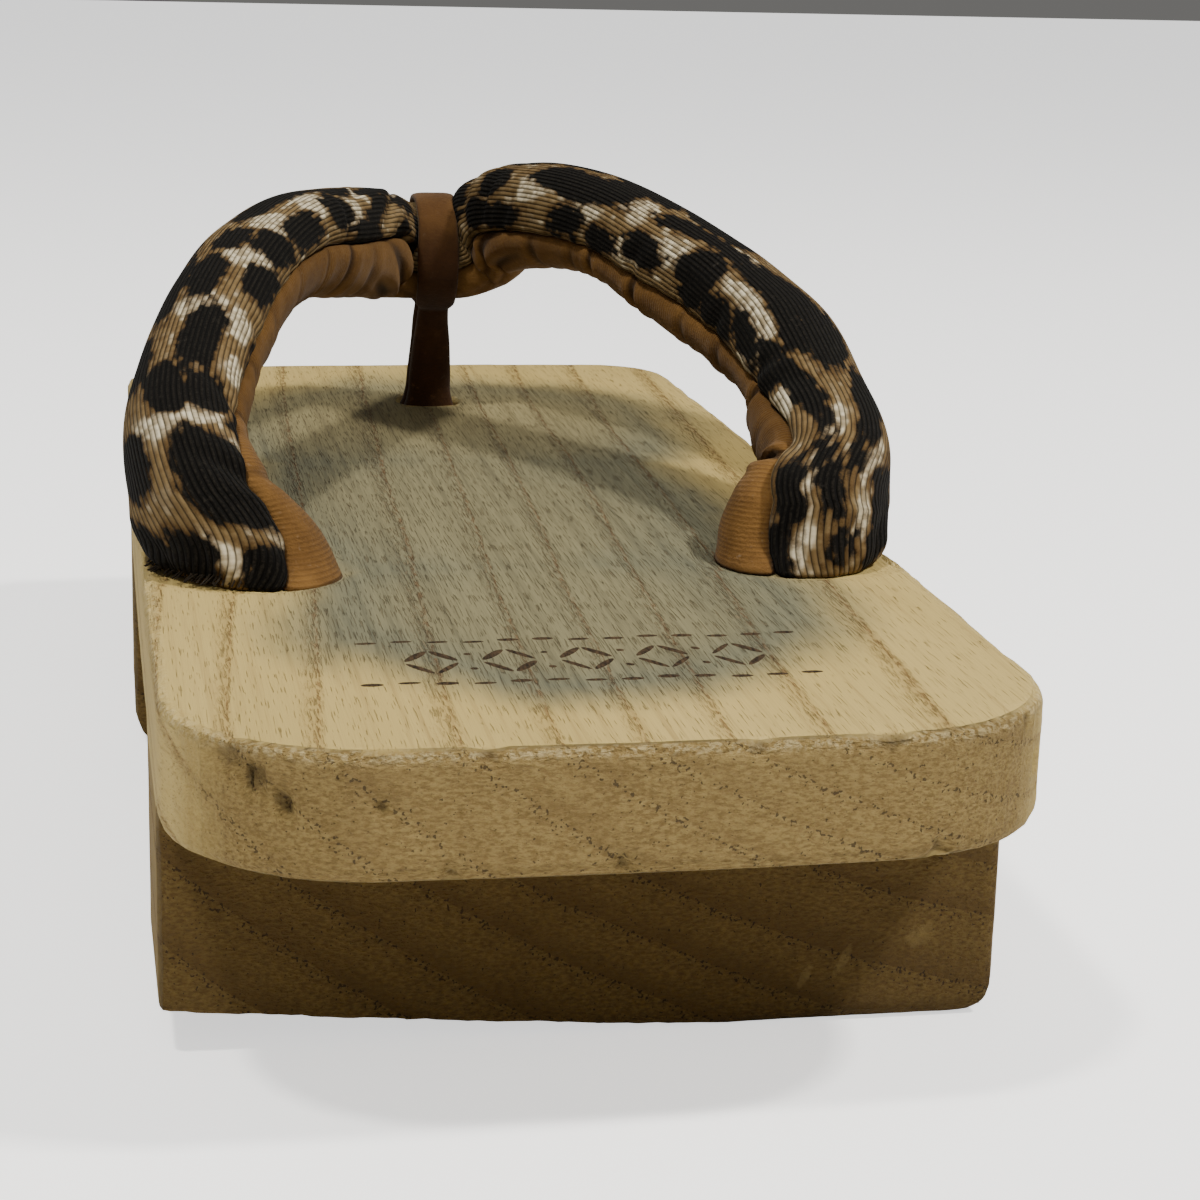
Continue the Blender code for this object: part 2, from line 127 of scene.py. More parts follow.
# Chips and bruises as x, y, z, radius and depth
CHIPS = (
    (-0.047, -0.1125, 0.0432, 0.0024, 0.0009), (-0.043, -0.1155, 0.0415, 0.0022, 0.001),
    (-0.04, -0.1172, 0.0393, 0.0015, 0.0008), (-0.0385, -0.1172, 0.0385, 0.0011, 0.0009),
    (-0.0275, -0.1172, 0.0388, 0.0009, 0.0006), (-0.003, -0.1172, 0.0318, 0.0013, 0.0011),
    (-0.0205, -0.1172, 0.0312, 0.0012, 0.0008), (0.033, -0.1168, 0.0311, 0.0016, 0.0009),
    (0.0475, -0.106, 0.0385, 0.0015, 0.001), (0.0478, -0.104, 0.034, 0.0012, 0.0009),
    (0.0462, -0.11, 0.0436, 0.0018, 0.0007), (0.012, -0.1168, 0.0446, 0.0016, 0.0004),
    (0.027, -0.1166, 0.0447, 0.0022, 0.0004), (-0.017, -0.1168, 0.0447, 0.0018, 0.0005),
)


def cuts(low, high, step):
    """Even places between two limits."""
    count = max(1, round((high - low) / step))
    return [low + (high - low) * k / count for k in range(1, count)]


def solid_noise(point, scale, seed):
    """Smooth noise from -1 to 1 at a point."""
    return noise.noise(Vector(point) * scale + Vector((seed * 7.3, seed * 3.1, seed * 5.7)))


def put(name, mesh, paint=None):
    """Links a mesh as a piece of the shoe, which is all one body."""
    if paint:
        mesh.materials.append(paint)
    piece = show(name, mesh)
    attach(piece, "root")
    return piece


def ramp(value, low, width):
    """From 0 at the low end to 1 at the high end."""
    return min(max((value - low) / width, 0.0), 1.0)


def carve_base():
    """A finer copy of the base, with soft arrises, wear and chips."""
    made = bmesh.new()
    made.from_mesh(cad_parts["wooden_base"].data)
    bmesh.ops.remove_doubles(made, verts=made.verts, dist=1e-6)
    bmesh.ops.dissolve_limit(made, angle_limit=math.radians(0.3), verts=made.verts, edges=made.edges)
    for axis, low, high, step in SLICES:
        across = Vector([float(k == axis) for k in range(3)])
        for place in cuts(low, high, step):
            whole = made.verts[:] + made.edges[:] + made.faces[:]
            bmesh.ops.bisect_plane(made, geom=whole, dist=1e-7, plane_co=across * place, plane_no=across)
    made.normal_update()
    # Each chip starts at the point of the wood nearest to its place
    chips = []
    for x, y, z, radius, depth in CHIPS:
        place = Vector((x, y, z))
        nearest = min(made.verts, key=lambda v: (v.co - place).length_squared)
        chips.append((nearest.co.copy(), radius, depth))
    moves = {}
    marks = {name: [] for name in ("end_grain", "deck", "worn", "chip")}
    for v in made.verts:
        n = v.normal
        slant = 1 - max(abs(n.x), abs(n.y), abs(n.z))
        flat = math.hypot(n.x, n.y)
        edge = min(max(n.z, 0.0), flat)
        facing = abs(n.y) / flat if flat > 0.3 else 0.0
        marks["end_grain"].append(ramp(facing, 0.35, 0.4))
        marks["deck"].append(ramp(n.z, 0.6, 0.35))
        in_hole = math.hypot(v.co.x - TOE_HOLE[0], v.co.y - TOE_HOLE[1]) < TOE_HOLE[2]
        marks["worn"].append(0.0 if in_hole else ramp(edge, 0.12, 0.4))
        rough = solid_noise(v.co, 160, 1) * 0.6 + solid_noise(v.co, 520, 2) * 0.4
        bruise = min(slant / 0.1, 1.0) * max(0.0, 0.25 + rough) * BRUISE_DEPTH
        chip = 0.0
        for place, radius, depth in chips:
            away = (v.co - place).length / radius
            if away < 1.25:
                away += solid_noise(v.co, 900, 3) * 0.25
                chip = max(chip, 1 - away * away)
                bruise += depth * max(0.0, 1 - away * away)**0.7
        marks["chip"].append(chip)
        moves[v] = -n * bruise
        for x, y, half_x, half_y in DISHES if n.z > 0.9 else ():
            away = math.hypot((v.co.x - x) / half_x, (v.co.y - y) / half_y)
            slope = ramp(1.42 - away, 0.0, 0.42)
            moves[v] -= Vector((0, 0, DISH_DEPTH * slope * slope * (3 - 2 * slope)))
    for v, move in moves.items():
        v.co += move
    mesh = bpy.data.meshes.new("wood_base")
    made.to_mesh(mesh)
    made.free()
    for name, values in marks.items():
        mesh.attributes.new(name, "FLOAT", "POINT").data.foreach_set("value", values)
    mesh.shade_smooth()
    mesh.set_sharp_from_angle(angle=math.radians(38))
    return mesh


class Paint:
    """A small hand for node trees: each call adds a node and gives its output."""

    def __init__(self, tree):
        self.tree = tree
        self.column = 0

    def node(self, kind, inputs=None, out=0, **settings):
        made = self.tree.nodes.new(kind)
        self.column += 1
        made.location = (self.column % 12 * 180, -(self.column // 12) * 240)
        for key, value in settings.items():
            setattr(made, key, value)
        for key, value in (inputs or {}).items():
            self.feed(made.inputs[key], value)
        return made.outputs[out]

    def feed(self, socket, value):
        if isinstance(value, bpy.types.NodeSocket):
            self.tree.links.new(value, socket)
        elif isinstance(value, tuple) and len(value) == 3 and socket.type == "RGBA":
            socket.default_value = (*value, 1.0)
        else:
            socket.default_value = value

    def math(self, operation, a, b=0.0, c=0.0):
        return self.node("ShaderNodeMath", {0: a, 1: b, 2: c}, operation=operation)

    def times(self, a, b):
        return self.math("MULTIPLY", a, b)

    def plus(self, a, b):
        return self.math("ADD", a, b)

    def less(self, a, b):
        return self.math("SUBTRACT", a, b)

    def scaled(self, value, scale, start):
        """The start, and the value times its scale added."""
        return self.math("MULTIPLY_ADD", value, scale, start)

    def swing(self, value, scale, start):
        """The start, moved either way by a noise that swings round a half."""
        return self.scaled(self.less(value, 0.5), scale, start)

    def squares(self, a, b):
        return self.plus(self.times(a, a), self.times(b, b))

    def span(self, value, low, high, to_low=0.0, to_high=1.0, smooth=True):
        kind = "SMOOTHSTEP" if smooth else "LINEAR"
        return self.node("ShaderNodeMapRange", {0: value, 1: low, 2: high, 3: to_low, 4: to_high},
                         interpolation_type=kind)

    def mix(self, share, a, b, blend="MIX"):
        inputs = {0: share, 6: a, 7: b}
        return self.node("ShaderNodeMix", inputs, out=2, data_type="RGBA", blend_type=blend)

    def lay(self, share, strength, under, over):
        """One colour laid over another, as strong as a share times a strength."""
        return self.mix(self.times(share, strength), under, over)

    def place(self):
        """The point's own place, in metres."""
        return self.node("ShaderNodeTexCoord", out=3)

    def stored(self, name):
        """A value that was stored at each point of the mesh."""
        return self.node("ShaderNodeAttribute", out=2, attribute_name=name)

    def split(self, vector):
        return self.node("ShaderNodeSeparateXYZ", {0: vector}).node.outputs

    def stretch(self, vector, scale, place=(0, 0, 0)):
        return self.node("ShaderNodeMapping", {"Vector": vector, "Scale": scale, "Location": place})

    def noise(self, vector, scale, detail=2.0, rough=0.5):
        return self.node("ShaderNodeTexNoise", {"Vector": vector, "Scale": scale, "Detail": detail,
                                                "Roughness": rough})

    def grain(self, vector, share, scale, detail=2.0, rough=0.5):
        """Noise drawn out along the wood, whose own length counts by a share."""
        return self.noise(self.stretch(vector, (1, share, 1)), scale, detail, rough)

    def finish(self, colour, height=None, strength=1.0, distance=0.0):
        """Feeds the shader its colour and its relief, and gives the material."""
        self.feed(self.shader.inputs["Base Color"], colour)
        if height:
            bump = self.node("ShaderNodeBump", {"Height": height, "Strength": strength, "Distance": distance})
            self.feed(self.shader.inputs["Normal"], bump)
        return self.made


def material(name, roughness, sheen=0.0, specular=0.4):
    """A Paint for a new material, which it keeps with its Principled shader."""
    made = bpy.data.materials.new(name)
    made.use_nodes = True
    paint = Paint(made.node_tree)
    paint.made, paint.shader = made, made.node_tree.nodes["Principled BSDF"]
    paint.shader.inputs["Roughness"].default_value = roughness
    paint.shader.inputs["Specular IOR Level"].default_value = specular
    paint.shader.inputs["Sheen Weight"].default_value = sheen
    return paint


def kiri_wood():
    """Straight pale grain with dark pores, tan pitted end grain and a grey foot stain."""
    paint = material("kiri_wood", 0.72, specular=0.2)
    at = paint.place()
    x, y, z = paint.split(at)
    end = paint.stored("end_grain")
    top = paint.stored("deck")
    worn = paint.stored("worn")
    side = paint.less(1.0, end)

    # Ring lines: circles round the pith, at the radii where they show
    wander = paint.grain(at, 0.25, 30, 3)
    drift = paint.times(paint.plus(y, 0.09), GRAIN_DRIFT)
    dx = paint.less(paint.less(x, drift), PITH[0])
    dz = paint.less(z, PITH[1])
    radius = paint.math("SQRT", paint.squares(dx, dz))
    radius = paint.swing(wander, 0.003, radius)
    count = len(RINGS) - 1
    curve = paint.tree.nodes.new("ShaderNodeFloatCurve")
    shape = curve.mapping.curves[0]
    for k, ring_radius in enumerate(RINGS):
        place = (ring_radius - RINGS[0]) / (RINGS[-1] - RINGS[0])
        inner = 0 < k < count
        mark = shape.points.new(place, k / count) if inner else shape.points[-1 if k else 0]
        mark.handle_type = "VECTOR"
    curve.mapping.update()
    paint.feed(curve.inputs["Value"], paint.span(radius, RINGS[0], RINGS[-1], smooth=False))
    ring = paint.math("FRACT", paint.times(curve.outputs[0], float(count)))
    early = paint.math("MAXIMUM", paint.span(ring, 0.26, 0.0), paint.span(ring, 0.94, 1.0))
    line = paint.math("MAXIMUM", paint.span(ring, 0.055, 0.0), paint.span(ring, 0.98, 1.0))

    # Long faces: streaks and fine dark pores
    pores = paint.grain(at, 0.035, 5400, 1.0, 0.5)
    coarse = paint.grain(at, 0.14, 2600, 2.0, 0.6)
    streak = paint.grain(at, 0.016, 1300, 3, 0.7)
    soft = paint.grain(at, 0.15, 70, 3)
    foot = stain_mask(paint, x, y, at)
    stain = paint.times(foot, top)
    level = paint.scaled(early, -0.04, 0.645)
    level = paint.scaled(stain, -0.065, level)
    pore = paint.span(pores, level, paint.plus(level, 0.09))
    torn = paint.times(paint.span(coarse, 0.5, 0.64), early)

    pale = paint.mix(soft, CREAM, PALE)
    pale = paint.mix(paint.span(streak, 0.45, 0.85), pale, TAN)
    pale = paint.lay(early, 0.3, pale, RING_BROWN)
    grey = paint.mix(paint.span(streak, 0.3, 0.75), STAIN_LIGHT, STAIN_DARK)
    pale = paint.mix(stain, pale, grey)
    broken = paint.times(line, paint.span(coarse, 0.36, 0.6))
    pale = paint.lay(broken, 0.44, pale, RED_BROWN)
    pale = paint.lay(torn, 0.26, pale, RED_BROWN)
    depth = paint.scaled(stain, 0.14, 0.29)
    pale = paint.mix(paint.times(pore, depth), pale, PORE_DARK)

    # End grain: fuzzy, with pits that follow the rings
    fuzz = paint.noise(paint.stretch(at, (0.5, 1, 1.2)), 2300, 4, 0.65)
    blotch = paint.noise(at, 110, 3)
    ends = paint.mix(paint.span(fuzz, 0.34, 0.66), END_DARK, END_LIGHT)
    low = paint.span(z, DECK_UNDER + 0.0006, DECK_UNDER - 0.0008)
    band = paint.times(paint.span(ring, 0.4, 0.98), paint.scaled(low, 0.4, 0.22))
    ends = paint.mix(band, ends, END_BAND)
    ends = paint.lay(paint.span(blotch, 0.48, 0.75), 0.35, ends, END_BAND)
    pits = paint.noise(at, 2400, 1.0, 0.5)
    pit_level = paint.scaled(early, -0.13, 0.7)
    pit = paint.span(pits, pit_level, paint.plus(pit_level, 0.05))
    ends = paint.lay(pit, 0.85, ends, PORE_DARK)
    colour = paint.mix(end, pale, ends)

    # Worn arrises are lighter. Below the deck the teeth are darkened, partly the wood's own darker tone and
    # partly painted shade for the overhang above them; the rear tooth has a few pale rubs
    crumbs = paint.noise(at, 1300, 3, 0.6)
    rim = paint.times(worn, paint.span(crumbs, 0.42, 0.6))
    colour = paint.lay(rim, 0.75, colour, RIM_CREAM)
    colour = paint.lay(low, 0.9, colour, paint.mix(1.0, colour, TOOTH_TONE_AND_SHADE, "MULTIPLY"))
    rear = paint.span(y, -0.086, -0.087)
    for rub_x, rub_z, wide, tall in RUBS:
        lean = paint.scaled(paint.less(z, rub_z), -0.45, paint.less(x, rub_x))
        across = paint.math("DIVIDE", lean, wide)
        up = paint.math("DIVIDE", paint.less(z, rub_z), tall)
        away = paint.swing(crumbs, 2.2, paint.squares(across, up))
        share = paint.times(paint.span(away, 1.2, 0.5), rear)
        colour = paint.lay(share, 0.2, colour, END_LIGHT)
    # Painted shade: chips and dents are darkened toward PORE_DARK, for the shade inside them that the mesh is
    # too coarse to cast
    chip = paint.stored("chip")
    colour = paint.lay(paint.span(chip, 0.25, 0.9), 0.5, colour, PORE_DARK)
    # The teeth darken toward PORE_DARK in their lowest few mm, with a blotchy upper edge
    darker_near_floor = paint.span(paint.scaled(blotch, 0.004, z), 0.0042, 0.0015)
    colour = paint.lay(darker_near_floor, 0.35, colour, PORE_DARK)
    paint.feed(paint.shader.inputs["Roughness"], paint.scaled(fuzz, 0.14, 0.64))

    long_relief = paint.scaled(pore, -0.8, paint.times(streak, 0.5))
    long_relief = paint.scaled(torn, -0.8, long_relief)
    plucked = paint.noise(paint.stretch(at, (0.6, 1, 1)), 720, 3, 0.6)
    end_relief = paint.scaled(plucked, 6.5, paint.times(fuzz, 3.6))
    end_relief = paint.scaled(pit, -2.6, end_relief)
    height = paint.plus(paint.times(side, long_relief), paint.times(end, end_relief))
    height = paint.scaled(paint.times(worn, crumbs), 3.0, height)
    return paint.finish(colour, height, 1.0, 0.00028)


def stain_mask(paint, x, y, at):
    """Where feet have greyed the deck: heel, sole and toes, darker near the rim."""
    ragged = paint.grain(at, 0.4, 55, 4)
    away = None
    for middle_x, middle_y, half_x, half_y in FOOT_PATCHES:
        across = paint.math("DIVIDE", paint.less(x, middle_x), half_x)
        along = paint.math("DIVIDE", paint.less(y, middle_y), half_y)
        here = paint.squares(across, along)
        away = paint.math("MINIMUM", away, here) if away else here
    away = paint.swing(ragged, 0.9, away)
    inside = paint.span(away, 1.36, 0.58)
    middle = paint.span(away, 0.75, 0.1, 1.0, 0.86)
    return paint.times(paint.times(inside, middle), paint.span(y, 0.02, 0.08, 1.0, 0.8))


base = put("wood_base", carve_base(), kiri_wood())
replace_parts(base, "wooden_base")


# Strap cover: ribbed cotton printed with dark spots on a cream and tan net, sewn
# round cotton stuffing. One padded roll from the right rear hole over the foot to
# the left rear hole, pinched where the toe band crosses it.
HOLE_SIDE = 0.03725
HOLE_Y = -0.03875
FRONT_SIDE = 0.0016
REACH = 0.1134
BULGE = 0.00705
TALL = 0.0178
DEEP = 0.0164
RISE = 0.0343
SEAT = DECK_TOP + 0.0003
ROUNDNESS = 2.3
# The rings turn level with the deck over a ninth of the roll at each end
LEVEL_PART = 9
LINING_SPREAD = math.radians(70)
COVER_RINGS = 540
COVER_POINTS = 156
RIBS = 72
# The ribs follow the roll without twisting: share along it, and degrees of the first rib
RIB_TURN = ((0.0, 0), (0.05, 24), (0.1, 40), (0.15, 46), (0.2, 47), (0.35, 46), (0.45, 44), (0.5, 34),
            (0.55, 29), (0.8, 27), (0.9, 24), (0.93, 17), (0.96, 3), (0.98, -13), (1.0, -30))
# The roll's course from a rear hole to the middle. Side, bulge, ahead and rise are
# shares of the sizes above; tall and deep are shares of the roll; turn is in degrees.
COURSE_COLUMNS = ("side", "bulge", "ahead", "rise", "tall", "deep", "turn")
RIGHT_COURSE = (
    (1.0, 0.0, 0.008, -0.022, 1.0, 1.42, -20), (1.0, 0.42, 0.045, 0.17, 0.99, 1.12, 4),
    (1.0, 0.9, 0.105, 0.3, 0.98, 1.04, 22), (1.0, 1.0, 0.2, 0.43, 0.98, 1.0, 50),
    (0.98, 0.98, 0.325, 0.6, 1.0, 1.0, 68), (0.9, 0.84, 0.455, 0.745, 0.96, 0.98, 76),
    (0.76, 0.68, 0.58, 0.87, 0.92, 0.98, 80), (0.64, 0.46, 0.695, 0.965, 0.92, 0.98, 82),
    (0.48, 0.26, 0.8, 1.0, 0.96, 0.96, 84), (0.31, 0.12, 0.93, 0.95, 0.98, 0.88, 84),
    (0.23, 0.02, 0.978, 0.84, 0.97, 0.78, 82), (0.13, 0.0, 0.992, 0.77, 0.9, 0.74, 90),
)
MIDDLE_COURSE = ((0.0, 0.0, 1.0, 0.765, 0.9, 0.72, 92),)
LEFT_COURSE = (
    (0.98, 0.0, 0.006, -0.022, 1.06, 1.28, -45), (1.0, 0.62, 0.058, 0.22, 1.01, 1.08, -6),
    (1.0, 0.9, 0.15, 0.375, 0.97, 1.02, 34), (0.99, 0.74, 0.25, 0.515, 0.97, 1.0, 48),
    (0.92, 0.52, 0.38, 0.705, 0.96, 1.0, 52), (0.81, 0.34, 0.515, 0.85, 0.92, 0.96, 54),
    (0.67, 0.2, 0.64, 0.925, 0.92, 0.94, 62), (0.51, 0.1, 0.755, 0.905, 0.98, 0.94, 66),
    (0.35, 0.02, 0.89, 0.855, 1.01, 0.9, 61), (0.235, 0.0, 0.968, 0.802, 0.98, 0.8, 66),
    (0.135, 0.0, 0.991, 0.77, 0.9, 0.74, 92),
)


def through(values, place):
    """Smooth values through equally spaced rows, at places from 0 to rows - 1."""
    values = np.asarray(values, float)
    place = np.atleast_1d(place)
    last = len(values) - 1
    k = np.clip(place.astype(int), 0, last - 1)
    t = (place - k).reshape(-1, *([1] * (values.ndim - 1)))
    padded = np.concatenate([2 * values[:1] - values[1:2], values, 2 * values[-1:] - values[-2:-1]])
    before, here, ahead, after = (padded[k + j] for j in range(4))
    slope_in, slope_out = (ahead - before) / 2, (after - here) / 2
    return ((2 * t**3 - 3 * t**2 + 1) * here + (t**3 - 2 * t**2 + t) * slope_in
            + (3 * t**2 - 2 * t**3) * ahead + (t**3 - t**2) * slope_out)


def read_off(table, place):
    """The value at a place, straight between a table's pairs."""
    places, values = zip(*table)
    return np.interp(place, places, values)


def lengths_along(points):
    """How far each point lies along a line of points."""
    return np.concatenate([[0], np.cumsum(np.linalg.norm(np.diff(points, axis=0), axis=1))])


def even_places(points, count):
    """Places evenly spaced by length along a smooth line, and its length."""
    fine = np.linspace(0, len(points) - 1, (len(points) - 1) * 40 + 1)
    track = through(points, fine)
    run = lengths_along(track)
    return np.interp(np.linspace(0, run[-1], count), run, fine), run[-1]


def unit(rows):
    """Rows of directions, each brought to a length of one."""
    return rows / np.linalg.norm(rows, axis=1)[:, None]


def headings(points, places):
    """Directions of a smooth line at places along it."""
    ahead = through(points, np.minimum(places + 0.02, len(points) - 1))
    return unit(ahead - through(points, np.maximum(places - 0.02, 0)))


def strap_course(count):
    """Centres, directions and sizes at even steps along the roll, from the right hole."""
    chain = [(1, row) for row in RIGHT_COURSE + MIDDLE_COURSE]
    chain += [(-1, row) for row in reversed(LEFT_COURSE)]
    centres, sizes = [], []
    for side, values in chain:
        row = dict(zip(COURSE_COLUMNS, values))
        half = HOLE_SIDE - side * FRONT_SIDE
        centres.append((FRONT_SIDE + side * (row["side"] * half + row["bulge"] * BULGE),
                        HOLE_Y + row["ahead"] * REACH, SEAT + row["rise"] * RISE))
        sizes.append((row["tall"] * TALL / 2, row["deep"] * DEEP / 2, math.radians(row["turn"])))
    places, length = even_places(centres, count)
    along = headings(centres, places)
    outward = unit(np.stack([along[:, 1], -along[:, 0], np.zeros(count)], axis=1))
    upward = np.cross(along, outward)
    upward[upward[:, 2] < 0] *= -1
    level = np.zeros((count, 3))
    level[:, 2] = np.sign(along[:, 2])
    size = through(sizes, places)
    return {"centre": through(centres, places), "along": along, "outward": outward, "upward": upward,
            "level": level, "tall": size[:, 0], "deep": size[:, 1], "turn": size[:, 2], "length": length}


def strap_surface(course, angles, inset):
    """Points of the roll's skin: a row for each ring, inset by a depth at each point."""
    count = len(course["centre"])
    c, s = np.cos(angles), np.sin(angles)
    reach = (np.abs(c)**ROUNDNESS + np.abs(s)**ROUNDNESS)**(-1 / ROUNDNESS)
    across = -c * reach * (course["deep"][:, None] - inset)
    upright = -s * reach * (course["tall"][:, None] - inset)
    points = course["outward"][:, None] * across[..., None] + course["upward"][:, None] * upright[..., None]
    ends = np.minimum(np.arange(count), np.arange(count)[::-1]) / (count - 1)
    share = np.clip(1 - ends * LEVEL_PART, 0, 1)[:, None]
    plane = unit(course["along"] * (1 - share) + course["level"] * share)
    slide = (points * plane[:, None]).sum(-1) / (course["along"] * plane).sum(-1)[:, None]
    return course["centre"][:, None] + points - course["along"][:, None] * slide[..., None]


def skin(name, rows, ribs=0, step=1.0):
    """A tube through rows of points, closed by fans, with a map in ribs round and mm along."""
    count, around = rows.shape[:2]
    points = np.concatenate([rows.reshape(-1, 3), rows[:1].mean(1), rows[-1:].mean(1)])
    k = np.arange(count - 1)[:, None] * around
    i = np.arange(around)[None, :]
    j = (i + 1) % around
    faces = np.stack([k + i, k + j, k + around + j, k + around + i], axis=-1).reshape(-1, 4).tolist()
    first, last, far = count * around, count * around + 1, (count - 1) * around
    faces += [(first, (n + 1) % around, n) for n in range(around)]
    faces += [(last, far + n, far + (n + 1) % around) for n in range(around)]
    mesh = bpy.data.meshes.new(name)
    mesh.from_pydata(points.tolist(), [], faces)
    made = bmesh.new()
    made.from_mesh(mesh)
    bmesh.ops.recalc_face_normals(made, faces=made.faces)
    made.to_mesh(mesh)
    made.free()
    mesh.shade_smooth()
    if ribs:
        corners = np.zeros(len(mesh.loops), int)
        mesh.loops.foreach_get("vertex_index", corners)
        ring, column = np.divmod(corners, around)
        quads = column[:(count - 1) * around * 4].reshape(-1, 4)
        quads[(quads.max(axis=1) == around - 1)[:, None] & (quads == 0)] = around
        place = np.stack([ring * step, column * ribs / around], axis=1)
        mesh.uv_layers.new(name="weave").data.foreach_set("uv", place.ravel())
    return mesh


def lattice(u, v, size_u, size_v, seed, smooth_v=True):
    """Soft random values from 0 to 1 on a grid of cells; cells can stay apart across v."""
    draw = np.random.default_rng(seed)
    grid = draw.random((512, 512))
    pu, pv = u / size_u + 100, v / size_v + 100
    ku, kv = np.floor(pu).astype(int), np.floor(pv).astype(int)
    fu, fv = pu - ku, pv - kv
    fu = fu * fu * (3 - 2 * fu)
    fv = fv * fv * (3 - 2 * fv) if smooth_v else np.zeros_like(fv)
    low = grid[ku % 512, kv % 512] * (1 - fu) + grid[(ku + 1) % 512, kv % 512] * fu
    high = grid[ku % 512, (kv + 1) % 512] * (1 - fu) + grid[(ku + 1) % 512, (kv + 1) % 512] * fu
    return low * (1 - fv) + high * fv


# Soft folds of the cover: place along the roll, degrees round it, half length and half
# width in mm, tilt in degrees from the roll's own run, and depth in mm
COVER_FOLDS = (
    (0.449, -45, 7.0, 1.1, 84, 0.75), (0.428, -22, 5.0, 1.0, 74, 0.5), (0.405, -8, 4.0, 1.1, 62, 0.4),
    (0.436, -85, 4.0, 1.2, 70, 0.35), (0.332, 2, 3.5, 1.2, 80, 0.45), (0.281, -2, 4.0, 1.3, 84, 0.6),
    (0.235, 0, 3.0, 1.3, 80, 0.3), (0.192, -6, 3.6, 1.4, 76, 0.4), (0.128, -18, 5.0, 1.5, 70, 0.55),
    (0.104, -42, 5.0, 1.6, 66, 0.4), (0.055, -66, 5.0, 1.4, 58, 0.7), (0.014, -146, 3.6, 0.9, 4, 0.45),
    (0.012, -118, 3.4, 0.9, -3, 0.4), (0.013, -92, 3.6, 0.9, -8, 0.45), (0.015, -178, 3.8, 1.0, 6, 0.45),
    (0.566, -8, 6.5, 0.9, -14, 0.8), (0.585, -44, 8.0, 1.1, 16, 0.75), (0.602, -24, 8.0, 1.0, 20, 0.65),
    (0.618, -66, 7.0, 1.1, 12, 0.4), (0.548, -78, 4.0, 1.0, 40, 0.4), (0.664, -16, 5.0, 1.3, 82, 0.7),
    (0.692, -20, 4.0, 1.2, 86, 0.45), (0.76, -20, 3.0, 1.3, 80, 0.25), (0.835, -28, 4.0, 1.4, 70, 0.35),
    (0.905, -52, 6.0, 1.3, 40, 0.4), (0.955, -78, 6.0, 1.2, 56, 0.5), (0.974, -64, 5.0, 1.0, 30, 0.55),
    (0.987, -104, 3.6, 0.9, 8, 0.5), (0.988, -134, 3.4, 0.9, 0, 0.45), (0.987, -164, 3.6, 0.9, -5, 0.45),
    (0.986, -200, 3.8, 1.0, -6, 0.45), (0.016, -208, 3.8, 1.0, 4, 0.4), (0.3, -250, 5.0, 1.6, 80, 0.35),
    (0.56, -200, 6.0, 1.4, 70, 0.45), (0.44, -190, 6.0, 1.4, -70, 0.45),
)
# Where the net is palest: place, degrees, half length as a share and half width in degrees
PALE_PATCHES = (
    (0.145, -26, 0.012, 28), (0.168, -50, 0.036, 10), (0.215, -86, 0.014, 10), (0.255, -36, 0.012, 18),
    (0.292, -12, 0.012, 12), (0.3, -62, 0.012, 16), (0.335, -30, 0.012, 12), (0.385, -40, 0.012, 18),
    (0.087, -42, 0.011, 12), (0.15, -98, 0.01, 12), (0.043, -97, 0.01, 8), (0.069, -92, 0.01, 9),
    (0.138, -28, 0.01, 12), (0.013, -106, 0.01, 7), (0.029, -147, 0.011, 6), (0.053, -140, 0.012, 6),
    (0.69, -62, 0.012, 22), (0.737, -70, 0.012, 22), (0.785, -60, 0.012, 24), (0.838, -88, 0.012, 26),
    (0.845, -50, 0.012, 14), (0.927, -125, 0.007, 20), (0.925, -85, 0.006, 20), (0.946, -68, 0.007, 12),
    (0.972, -103, 0.013, 7), (0.984, -147, 0.01, 8), (0.885, -42, 0.012, 9), (0.655, -40, 0.01, 18),
    (0.627, -60, 0.008, 14), (0.56, -62, 0.008, 12), (0.47, -20, 0.006, 10),
)
